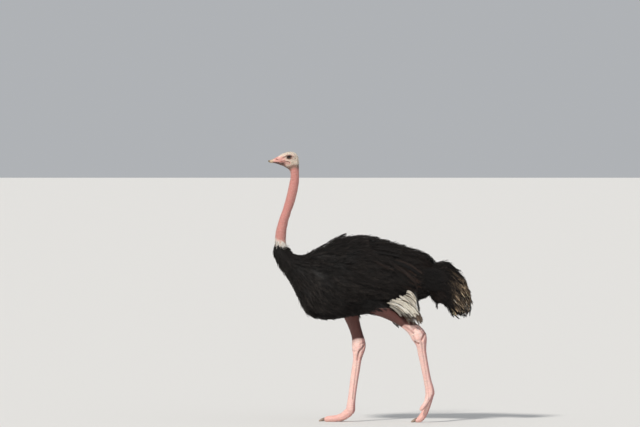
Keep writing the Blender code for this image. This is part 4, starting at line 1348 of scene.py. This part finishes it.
# White flight plumes ----------------------------------------------------------------
# The broad white plumes of each wing's tip: long curled barbs on drooping shafts, fanned
# from under the black coverts. The plumes beneath and between them are painted grey and grey-brown, as white
# plumes in shade.
WHITE_ROOTS = ((0.128, 0.926), (0.180, 0.950), (0.240, 0.980), (0.300, 0.996))
WHITE_TIPS = ((0.268, 0.866), (0.322, 0.860), (0.372, 0.858), (0.356, 0.945))
SHADE_FOLDS = (               # painted shade between the white plumes, as thin grey-brown plumes: root and tip (y, z)
    ((0.134, 0.916), (0.250, 0.874)), ((0.215, 0.890), (0.350, 0.856)), ((0.215, 0.958), (0.330, 0.906)),
    ((0.262, 0.990), (0.352, 0.935)), ((0.296, 1.006), (0.352, 0.968)), ((0.165, 0.932), (0.262, 0.902)))
WHITE = np.array((0.84, 0.77, 0.655))
# white plumes in painted shade
WHITE_IN_SHADE = np.array((0.095, 0.060, 0.036))
# barb tips at 0.70 of their colour: painted shade between the white plumes
WHITE_PLUME = {"width": 0.0023, "start": 0.02, "angles": (40, 14), "droop": 0.25, "shaft": 0.0011,
               "bend": 0.6, "edge_tone": 0.70}
FAR_WING_SHIFT = (-0.112, -0.026)       # the right wing's plumes hang farther forward and lower
LAYERS = (              # roots, tips, how many, how far out, colours of root and tip, barbs, their reach
    # the greyer and grey-brown layers below and between the white ones are white plumes painted in shade
    (((0.13, 0.925), (0.20, 0.955), (0.29, 0.985)), ((0.255, 0.850), (0.33, 0.845), (0.355, 0.875)),
     14, 0.194, WHITE * 0.55, WHITE * 0.45, 150, 0.026),
    (((0.15, 0.895), (0.24, 0.900), (0.32, 0.930)), ((0.295, 0.815), (0.345, 0.788), (0.398, 0.806)),
     18, 0.184, WHITE_IN_SHADE, WHITE_IN_SHADE, 150, 0.034),
    (((0.30, 0.885), (0.33, 0.90)), ((0.368, 0.800), (0.388, 0.815)),
     6, 0.196, WHITE_IN_SHADE, WHITE_IN_SHADE * 2.6, 150, 0.026),
    (((0.115, 0.900), (0.135, 0.920)), ((0.235, 0.850), (0.275, 0.850)),
     7, 0.204, WHITE * 0.45, WHITE * 0.42, 150, 0.018),
    (WHITE_ROOTS, WHITE_TIPS, 28, 0.212, WHITE * 1.12, WHITE * 1.14, 200, 0.023),
    (((0.286, 1.020), (0.290, 1.024)), ((0.326, 0.985), (0.356, 0.962)), 4, 0.226, WHITE, WHITE, 120, 0.014),
    *(((root, root), (tip, tip), 2, 0.222, WHITE_IN_SHADE * 1.5, WHITE_IN_SHADE * 2.6, 90, 0.007)
      for root, tip in SHADE_FOLDS),
    (((0.345, 1.02), (0.352, 1.01)), ((0.374, 0.880), (0.386, 0.884)),
     4, 0.234, np.array(BLACK), np.array(BLACK), 200, 0.016))
FAR_SHADE_LAYER = 1           # the layer painted in deeper shade under the far wing
white_plumes = plume_material("white_plumes", 0.6, 0.2)


def fan(roots, tips, count, rng, layer, sag=0.012, steps=9):
    """Paths of drooping plumes from a line of roots to a bent line of tips, seen from the side."""
    u = (np.arange(count) + rng.random(count)) / count
    start = curve_through(roots, u * (len(roots) - 1)) + rng.normal(0, 0.007, (count, 2))
    end = curve_through(tips, u * (len(tips) - 1)) + rng.normal(0, 0.011 if count > 4 else 0.003, (count, 2))
    t = np.linspace(0, 1, steps + 1)[None, :, None]
    flat = start[:, None] + (end - start)[:, None] * t
    flat[..., 1:] += sag * np.sin(np.pi * t) - sag * 0.8 * t ** 4
    out = (layer + rng.normal(0, 0.004, count)[:, None] + 0.022 * np.sin(np.pi * t[..., 0] * 0.8)
           - 0.030 * (1 - t[..., 0]) ** 2)
    path = np.concatenate((np.broadcast_to(out[..., None], flat.shape[:2] + (1,)), flat), 2)
    normal = np.zeros_like(path)
    normal[..., 0] = 1.0
    normal[..., 1] = rng.normal(0, 0.25, count)[:, None]
    normal[..., 2] = 0.25 + rng.normal(0, 0.25, count)[:, None]
    return path, unit(normal)


for side, sign, shift in (("left", 1, (0.0, 0.0)), ("right", -1, FAR_WING_SHIFT)):
    rng = np.random.default_rng(50 + sign)
    batches = []
    for number, (roots_at, tips_at, count, layer, base, tips_colour, barbs, reach) in enumerate(LAYERS):
        # painted deeper shade on the far wing's under layer
        tone = 0.35 if sign < 0 and number == FAR_SHADE_LAYER else 1.0
        path, normals = fan(np.array(roots_at) + shift, np.array(tips_at) + shift, count, rng, layer)
        t = np.linspace(0, 1, path.shape[1])
        for k, (x, y, z) in enumerate(path[:, 0].tolist()):
            under = from_side(coat_tree, sign, y, z, missed=sign * (x - 0.052)) * sign + 0.002
            path[k, :, 0] += min(under - x, 0.0) * (1 - t) ** 1.5
        path[..., 0] = (path[..., 0] + 0.006 * rng.random(count)[:, None]) * sign
        normals[..., 0] *= sign
        colour = plume_colours(count, base * tone, rng, 0.14)
        tip = plume_colours(count, tips_colour * tone, rng, 0.10)
        batches.append(plume_arrays(path, normals, rng, colour, tip, barbs, reach, **WHITE_PLUME))
    coat_piece("white_plumes_" + side, batches, white_plumes, "white_plumes", "primaries_" + side)

# Tail -------------------------------------------------------------------------------
# Long tail plumes rooted in the rump, fanned and drooping, black at the root with worn
# brown, fawn and whitish ends.  Their ends hang in locks along a ragged lower edge.
TAIL_HEAD = np.array((0.0, 0.40, 1.22))
TUFT_SIZE = 9
SPIKE_ROOT, SPIKE_TIP = np.array((0.0, 0.508, 0.968)), np.array((0.0, 0.521, 0.898))
TAIL_TUFTS = ((0.494, 0.945), (0.600, 0.880), (0.592, 1.222), (0.725, 0.915), (0.742, 0.990))
TAIL_EDGE = (           # how low the ends of the tail's plumes hang (y, z)
    (0.456, 1.000), (0.482, 0.948), (0.520, 0.925), (0.555, 0.943), (0.575, 0.927), (0.617, 0.855),
    (0.674, 0.819), (0.731, 0.844), (0.767, 0.855), (0.788, 0.902))
TAIL_TOP = ((0.60, 0.0), (0.687, 0.038), (0.741, 0.040), (0.774, 0.065), (0.81, 0.070))    # y, how far down
FAWN = np.array((0.70, 0.50, 0.33))
ROOT_BLACK = (0.0095, 0.0075, 0.0068)
WORN_PALE = (0.95, 0.70, 0.46)
WORN_ENDS = 180
UNDER_PLUMES = 56
TAIL_PLUME = {"barbs": 21, "length": 0.036, "width": 0.0026, "start": 0.12}
WORN_PLUME = {"barbs": 34, "length": 0.012, "width": 0.0022, "start": 0.1, "angles": (26, 10)}
UNDER_PLUME = {"barbs": 14, "length": 0.030, "width": 0.009, "start": 0.05}


def tail_lie(place):
    way = unit((place - TAIL_HEAD) * (0.3, 1, 1))
    way[:, 2] -= 0.30
    return way


def tucked(path):
    """Plumes brought down to the tail's rounded upper outline."""
    path = path.copy()
    path[..., 2] -= line_at(TAIL_TOP, path[..., 1]) * step_between(0.98, 1.14, path[..., 2])
    path[..., 1] -= 0.25 * np.maximum(path[..., 1] - 0.745, 0)
    return path


def cut_at_edge(path, rng):
    """Plumes shortened where their ends would hang below the tail's edge."""
    root, end = path[:, 0], path[:, -1]
    limit = line_at(TAIL_EDGE, end[:, 1]) + 0.010 + rng.normal(0, 0.007, len(path))
    share = np.clip((root[:, 2] - limit) / np.maximum(root[:, 2] - end[:, 2], 1e-4), 0.25, 1)
    share = np.where(end[:, 2] < limit, share, 1.0)
    return root[:, None] + (path - root[:, None]) * share[:, None, None]


rng = np.random.default_rng(41)
own = roots[on_tail]
upper = own[(own[:, 2] > 1.02) & (own[:, 1] < 0.72)]
upper = np.concatenate((upper, upper[upper[:, 2] > 1.15]))
lower = own[own[:, 2] < 1.02][::2]
own = np.concatenate((own, upper + rng.normal(0, 0.010, upper.shape),
                      lower + rng.normal(0, 0.006, lower.shape)))
ray = np.arctan2(own[:, 2] - TAIL_HEAD[2], own[:, 1] - TAIL_HEAD[1])
lock = np.sin(ray * 58 + 2.2 * np.sin(ray * 17) + own[:, 0] * 70)
kept = own[:, 2] > 0.872 + 0.020 * lock
own, lock = own[kept], lock[kept]
length = 0.150 * np.exp(rng.normal(0, 0.20, len(own))) * (1 + 0.30 * lock)
length *= np.interp(own[:, 2], (0.87, 0.99), (0.38, 1.0)) * np.interp(own[:, 1], (0.66, 0.74), (1.0, 0.75))
path, normals = grow(coat_tree, own, length, tail_lie, rng.uniform(0.012, 0.034, len(own)), rng, pull=0.65,
                     stray=0.2)
# loose tufts round the tail's outline; the first of them hangs straight down as a spike
loose = np.repeat([(0.0, y, z) for y, z in TAIL_TUFTS], TUFT_SIZE, 0)
loose += rng.normal(0, 0.006, loose.shape)
more, out = grow(coat_tree, loose, rng.uniform(0.050, 0.075, len(loose)), tail_lie, 0.010, rng,
                 pull=0.25, stray=0.06, lift=0.003)
spike = SPIKE_ROOT + rng.normal(0, (0.006, 0.018, 0.003), (TUFT_SIZE, 3))
more[:TUFT_SIZE] = straight(spike, SPIKE_TIP + rng.normal(0, (0.004, 0.003, 0.006), (TUFT_SIZE, 3)))[0]
path, normals = np.concatenate((cut_at_edge(path, rng), more)), np.concatenate((normals, out))
own, lock = np.concatenate((own, loose)), np.concatenate((lock, np.full(len(loose), -0.5)))
colour = plume_colours(len(own), ROOT_BLACK, rng)
end = path[:, -1]
worn = step_between(0.655, 0.70, end[:, 1]) * step_between(1.16, 1.11, end[:, 2])
pale = step_between(0.0, 0.35, lock + rng.normal(0, 0.15, len(own))) * rng.uniform(0.7, 1.0, len(own))
white_end = (rng.random(len(own)) < 0.16) * step_between(1.02, 0.92, end[:, 2])
tip = tinted(tinted(colour, FAWN * 0.8, worn * pale), WHITE * 0.8, worn * pale * white_end)
colour = tinted(colour, FAWN * 0.4, 0.70 * worn * pale)
tail_plumes = plume_material("tail_plumes", 0.8, 0.03)
coat_piece("tail_plumage", [plume_arrays(tucked(path), normals, rng, colour, tip, **TAIL_PLUME)],
           tail_plumes, "tail_plumes", "tail")

# Narrow worn ends in locks over the rear of the tail, bright fawn beside black.
rear = (coat_middles[:, 1] > 0.63) & (coat_middles[:, 2] < 1.14) & (coat_middles[:, 2] > 0.84)
rear &= coat_middles[:, 1] > 0.70 - 0.30 * (1.14 - coat_middles[:, 2])
own = scatter(coat_points, coat_corners[rear], WORN_ENDS, rng, spread=0.4)
length = rng.uniform(0.05, 0.09, len(own)) * np.interp(own[:, 2], (0.86, 0.95), (0.45, 1.0))
path, normals = grow(coat_tree, own, length, tail_lie, -0.004, rng, pull=0.6, stray=0.12, lift=0.007)
path = cut_at_edge(path, rng)
ray = np.arctan2(own[:, 2] - TAIL_HEAD[2], own[:, 1] - TAIL_HEAD[1])
strand = np.sin(ray * 52 + 1.8 * np.sin(ray * 15) + own[:, 0] * 40) + rng.normal(0, 0.35, len(own))
kind = strand[:, None] + 0.9 * (rng.random((len(own), 1)) < 0.08)
colour = np.where(kind > 1.3, WHITE * 1.1, np.where(kind > -0.15, WORN_PALE, np.array(BLACK) * 0.5))
colour = colour * np.exp(rng.normal(-0.05, 0.20, (len(own), 1)))
ends = plume_arrays(tucked(path), normals, rng, colour, colour * 1.15, **WORN_PLUME)
# broad dark plumes deep inside the fan, so that no light comes through it
deep = np.random.default_rng(47)
inside = (coat_middles[:, 1] > 0.56) & (coat_middles[:, 1] < 0.74)
inside &= (coat_middles[:, 2] > 0.91) & (coat_middles[:, 2] < 1.13)
own = scatter(coat_points, coat_corners[inside], UNDER_PLUMES, deep, spread=0.6)
path, normals = grow(coat_tree, own, 0.08, tail_lie, 0.0, deep, stray=0.15, lift=0.0)
path = cut_at_edge(path - normals * 0.016, deep)
colour = plume_colours(len(own), PLUME_BLACK, deep)
under = plume_arrays(tucked(path), normals, deep, colour, colour, **UNDER_PLUME)
coat_piece("tail_ends", [ends, under], tail_plumes, "tail_plumes")

# Rump -------------------------------------------------------------------------------
# Black plumes that bridge the hollow between the folded wings and the tail, and others
# that trail from the back over the root of the tail.  They root on the rump's skin.
RUMP_PLUMES, RIDGE_PLUMES = 70, 40
RUMP_PLUME = {"barbs": 28, "length": 0.032, "width": 0.0023, "start": 0.1}
RIDGE_PLUME = {"barbs": 28, "length": 0.030, "width": 0.0023, "start": 0.1}
batches = []
for sign in (1, -1):
    root = np.stack((rng.uniform(0.37, 0.44, RUMP_PLUMES), rng.uniform(1.06, 1.20, RUMP_PLUMES)), 1)
    end = root + np.stack((rng.uniform(0.13, 0.18, RUMP_PLUMES), rng.uniform(-0.06, -0.01, RUMP_PLUMES)), 1)
    root, end = (np.array([(from_side(coat_tree, sign, y, z, missed=0.05 * sign), y, z)
                           for y, z in flat.tolist()]) for flat in (root, end))
    path, t = straight(root, end)
    path[..., 0] += sign * (0.008 * np.sin(np.pi * t) - 0.014 * (1 - t) ** 2)
    colour = plume_colours(RUMP_PLUMES, ROOT_BLACK, rng)
    normals = steady(path, (sign, 0.35, 0.2))
    batches.append(plume_arrays(path, normals, rng, colour, colour * 1.2, **RUMP_PLUME))
root = np.stack((rng.normal(0, 0.05, RIDGE_PLUMES), rng.uniform(0.36, 0.42, RIDGE_PLUMES)), 1)
end = np.stack((root[:, 0] * 0.8, rng.uniform(0.470, 0.512, RIDGE_PLUMES)), 1)
low = np.array([coat_tree.ray_cast((x, y, 1.6), (0, 0, -1))[0][2] for x, y in root.tolist()]) - 0.012
high = 1.284 - (end[:, 1] - 0.475) - 0.022 * rng.random(RIDGE_PLUMES) - 2.0 * end[:, 0] ** 2
path, t = straight(np.column_stack((root, low)), np.column_stack((end, high)))
path[..., 2] += 0.008 * np.sin(np.pi * t)
colour = plume_colours(RIDGE_PLUMES, BLACK, rng)
normals = steady(path, (0.0, 0.5, 0.85))
batches.append(plume_arrays(path, normals, rng, colour, colour * 1.2, **RIDGE_PLUME))
coat_piece("rump_plumage", batches, black_plumes, "black_plumes")

# Collar -----------------------------------------------------------------------------
# A narrow ring of short white plumes where the bare neck meets the black body, thinning
# out upwards, over a fringe of small black plumes.  Both root in the skin of the neck.
COLLAR_PLUMES, FRINGE_PLUMES = 430, 150
COLLAR_PLUME = {"barbs": 14, "length": 0.015, "width": 0.0016, "start": 0.15, "shaft": 0.0006}
FRINGE_PLUME = {"barbs": 16, "length": 0.014, "width": 0.0016, "start": 0.1, "shaft": 0.0006}
COLLAR_WHITE = (1.0, 0.88, 0.79)
NECK_REAR = -0.56
skin_corners = corners_of(skin_mesh)
skin_tree = tree_of(skin_points, skin_corners)
rng = np.random.default_rng(61)
middle = skin_points[skin_corners].mean(1)
along_neck = up_the_neck(middle[:, 1], middle[:, 2])
front = step_between(-0.69, -0.74, middle[:, 1])
on_neck = middle[:, 1] < NECK_REAR
ring = (along_neck > 1.374 + 0.014 * front) & (along_neck < 1.416) & on_neck
own = scatter(skin_points, skin_corners[ring], COLLAR_PLUMES, rng, spread=0.4)
kept = np.interp(up_the_neck(own[:, 1], own[:, 2]), (1.380, 1.414), (1.0, 0.16))
kept *= np.where(uneven_round(own[:, 0], own[:, 1]) > -0.2, 1, 0.45)
own = own[rng.random(len(own)) < kept]
length = 0.024 * np.exp(rng.normal(0, 0.35, len(own)))
path, normals = grow(skin_tree, own, length, body_lie(0.3), 0.0, rng, steps=4, stray=0.12, lift=0.0022)
colour = np.minimum(plume_colours(len(own), COLLAR_WHITE, rng, 0.12), 0.98)
coat_piece("collar_plumes", [plume_arrays(path, normals, rng, colour, colour, **COLLAR_PLUME)],
           white_plumes, "white_plumes")
ring = (along_neck > 1.352) & (along_neck < 1.380 + 0.014 * front) & on_neck
own = scatter(skin_points, skin_corners[ring], FRINGE_PLUMES, rng, spread=0.4)
height = up_the_neck(own[:, 1], own[:, 2])
own = own[uneven_round(own[:, 0], own[:, 1]) < np.interp(height, (1.354, 1.380), (1.0, -0.5))]
path, normals = grow(skin_tree, own, rng.uniform(0.030, 0.045, len(own)), body_lie(0.2), -0.004, rng,
                     steps=4, stray=0.10, lift=0.003)
colour = plume_colours(len(own), BLACK, rng)
coat_piece("collar_edge", [plume_arrays(path, normals, rng, colour, colour, **FRINGE_PLUME)],
           black_plumes, "black_plumes")

# Lashes -----------------------------------------------------------------------------
# Long black bristles along the upper lids, and a few short ones on the lower.  Each is a
# single shaft set in the rim of the lid and curved up and outwards.
LASH = {"barbs": 2, "length": 0.002, "width": 0.0003, "start": 0.5, "shaft": 0.00032}
LASH_BLACK = (0.012, 0.008, 0.006)
rng = np.random.default_rng(71)
batches = []
for sign in (1, -1):
    a = np.radians(np.concatenate((np.linspace(18, 165, 34), np.linspace(205, 330, 12))))
    a = a + rng.normal(0, 0.02, len(a))
    flat, rise = LID_HALF_LENGTH * 1.05 * np.cos(a), LID_HALF_HEIGHT * 1.05 * np.sin(a)
    line = on_eyeball(flat, rise, 0.0014)
    reach = np.where(rise > 0, 0.0095, 0.0045) * (1 + rng.normal(0, 0.12, len(a)))
    t = np.linspace(0, 1, 6)[None, :, None]
    turn = np.stack((np.zeros(len(a)), flat * 14, np.sign(rise) * 0.25), 1)
    droop = np.array((0, 0, 0.30)) * (rise > 0)[:, None, None] * t ** 2
    bend = unit(line)[:, None] * t * 0.8 + turn[:, None] * t - droop
    path = EYE + line[:, None] + reach[:, None, None] * bend
    path = path * (sign, 1, 1)
    colour = np.tile(LASH_BLACK, (len(a), 1))
    batches.append(plume_arrays(path, steady(path, (0.0, 0.3, 1.0)), rng, colour, colour, **LASH))
coat_piece("lashes", batches, black_plumes, "black_plumes")

# Down -------------------------------------------------------------------------------
# Short bristly down: dense and cream on the crown, cheek and nape, thin on the bare neck.
# Small tufts of three hairs are strewn over the skin, laid back along the head and neck.
DOWN_CREAM = np.array((1.0, 0.93, 0.82))
TUFTS_PER_M2 = 112000.0
tuft_points, tuft_faces = [], []
for k in range(3):
    turn = k * 2.1
    lean = np.array((math.cos(turn), math.sin(turn), 0)) * 0.20
    base = np.array((math.cos(turn), math.sin(turn), 0)) * 0.10
    side = np.array((-math.sin(turn), math.cos(turn), 0)) * 0.042
    middle, tip = base + lean * 0.5 + (0, 0, 0.5), base + lean + (0, 0.12, 1.0)
    start = len(tuft_points)
    ridge = middle + np.cross(side, (0, 0, 1))
    tuft_points += [base - (0, 0, 0.12), middle - side, middle + side, ridge, tip]
    tuft_faces += [(start + a, start + b, start + c) for a, b, c in (
        (0, 2, 1), (0, 3, 2), (0, 1, 3), (1, 2, 4), (2, 3, 4), (3, 1, 4))]
tuft_mesh = mesh_of("down_tuft", np.array(tuft_points), np.array(tuft_faces))
patch = np.array(tuft_points)[:, [0, 2, 1]] * (1, 1, 0) - (0, 0.5, 0)
set_values(tuft_mesh, "patch", patch)
face_outwards(tuft_mesh)
tuft = add_object("down_tuft", tuft_mesh)

p = skin_points
at = along_line(spine_line, p)
way = np.zeros_like(p)
way[:, 1:] = unit(spine_line[np.minimum(at + 6, SPINE_STOPS - 1), :2] - spine_line[np.maximum(at - 6, 0), :2])
x, y, z = p.T
head = step_between(1.978, 1.998, up_the_head(y, z))
behind_face = step_between(-0.675, -0.640, y + 0.045 * step_between(2.056, 2.066, z))
oval = np.hypot((y - EYE[1]) / LID_HALF_LENGTH, (z - EYE[2]) / LID_HALF_HEIGHT)
clear = step_between(1.25, 1.7, oval) * step_between(0.006, 0.010, np.hypot(y - EAR[0], z - EAR[1]))
density = head * (0.10 + 0.90 * behind_face) * clear
density *= 1 - 0.8 * hump(z, line_at(GAPE_LINE, y), 0.008) * (y < -0.615)
density *= step_between(-0.702, -0.694, y)
neck = step_between(1.98, 1.93, z) * step_between(1.37, 1.42, z) * (y < NECK_REAR)
density = density + neck * 0.10 + neck * 0.12 * step_between(1.55, 1.42, z)
down_skin = skin_mesh.copy()
set_values(down_skin, "density", np.clip(density, 0, 1))
set_values(down_skin, "size", 0.0052 + 0.0022 * neck - 0.0018 * head * step_between(-0.640, -0.665, y))
set_values(down_skin, "way", way)
set_values(down_skin, "home", np.column_stack((root_map(p), np.zeros(len(p)))))
# more cream on the crown and the back of the head: partly paler down, partly a painted highlight on the lit
# top of the head
crown = np.maximum(step_between(2.066, 2.078, z), step_between(-0.600, -0.575, y))
down_skin.color_attributes.remove(down_skin.color_attributes["tint"])
set_tint(down_skin, tinted(skin_colour, DOWN_CREAM, np.where(z > 1.95, 0.40 + 0.50 * crown, 0.55)))

down_tree = bpy.data.node_groups.new("down", "GeometryNodeTree")
for label, kind in (("Geometry", "Geometry"), ("Tuft", "Object"), ("Tufts per m2", "Float"),
                    ("Lift", "Float"), ("Seed", "Int"), ("Patch", "Float"), ("Material", "Material")):
    down_tree.interface.new_socket(label, in_out="INPUT", socket_type="NodeSocket" + kind)
down_tree.interface.new_socket("Geometry", in_out="OUTPUT", socket_type="NodeSocketGeometry")
down_in, down_out = down_tree.nodes.new("NodeGroupInput"), down_tree.nodes.new("NodeGroupOutput")


def stored(name, kind):
    """A value that the skin's points carry."""
    carried = add_node(down_tree, "GeometryNodeInputNamedAttribute", {"Name": name}, data_type=kind)
    return carried.outputs["Attribute"]


thick = reckon(down_tree, "MULTIPLY", stored("density", "FLOAT"), down_in.outputs["Tufts per m2"])
strewn = add_node(down_tree, "GeometryNodeDistributePointsOnFaces", {
    "Mesh": down_in.outputs["Geometry"], "Density": thick, "Seed": down_in.outputs["Seed"]})
raised = add_node(down_tree, "ShaderNodeVectorMath", {0: strewn.outputs["Normal"]}, operation="SCALE")
down_tree.links.new(down_in.outputs["Lift"], raised.inputs["Scale"])
stray = add_node(down_tree, "FunctionNodeRandomValue", {"Min": (-0.35,) * 3, "Max": (0.35,) * 3},
                 data_type="FLOAT_VECTOR")
laid = reckon(down_tree, "ADD", stored("way", "FLOAT_VECTOR"), raised.outputs[0], "ShaderNodeVectorMath")
laid = reckon(down_tree, "ADD", laid, stray.outputs["Value"], "ShaderNodeVectorMath")
turned = add_node(down_tree, "FunctionNodeAlignRotationToVector", {"Vector": laid}, axis="Z")
uneven = add_node(down_tree, "FunctionNodeRandomValue", {2: 0.65, 3: 1.25}, data_type="FLOAT")
size = reckon(down_tree, "MULTIPLY", stored("size", "FLOAT"), uneven.outputs[1])
shape = add_node(down_tree, "GeometryNodeObjectInfo", {"Object": down_in.outputs["Tuft"]},
                 transform_space="ORIGINAL")
placed = add_node(down_tree, "GeometryNodeInstanceOnPoints", {
    "Points": strewn.outputs["Points"], "Instance": shape.outputs["Geometry"],
    "Rotation": turned.outputs["Rotation"], "Scale": size})
real = add_node(down_tree, "GeometryNodeRealizeInstances", {"Geometry": placed.outputs["Instances"]})
offset = add_node(down_tree, "ShaderNodeVectorMath", {0: stored("patch", "FLOAT_VECTOR")}, operation="SCALE")
down_tree.links.new(down_in.outputs["Patch"], offset.inputs["Scale"])
spot = reckon(down_tree, "ADD", stored("home", "FLOAT_VECTOR"), offset.outputs[0], "ShaderNodeVectorMath")
mapped = add_node(
    down_tree, "GeometryNodeStoreNamedAttribute",
    {"Geometry": real.outputs["Geometry"], "Name": "OFBake", "Value": spot},
    data_type="FLOAT2", domain="CORNER")
dressed = add_node(down_tree, "GeometryNodeSetMaterial", {
    "Geometry": mapped.outputs["Geometry"], "Material": down_in.outputs["Material"]})
down_tree.links.new(dressed.outputs["Geometry"], down_out.inputs["Geometry"])

down_material = plume_material("down", 0.7, 0.15)
down = add_object("down_strewn", down_skin)
strew = down.modifiers.new("strew", "NODES")
strew.node_group = down_tree
values = {"Tuft": tuft, "Tufts per m2": TUFTS_PER_M2, "Lift": 0.42, "Seed": 5, "Patch": BAKE_PATCH,
          "Material": down_material}
for socket in down_tree.interface.items_tree:
    if socket.in_out == "INPUT" and socket.name in values:
        strew[socket.identifier] = values[socket.name]
down_mesh = evaluated_mesh(down)
bpy.data.objects.remove(tuft)
down_mesh.name = "down"
down = add_object("down", down_mesh)
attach(down, "root")
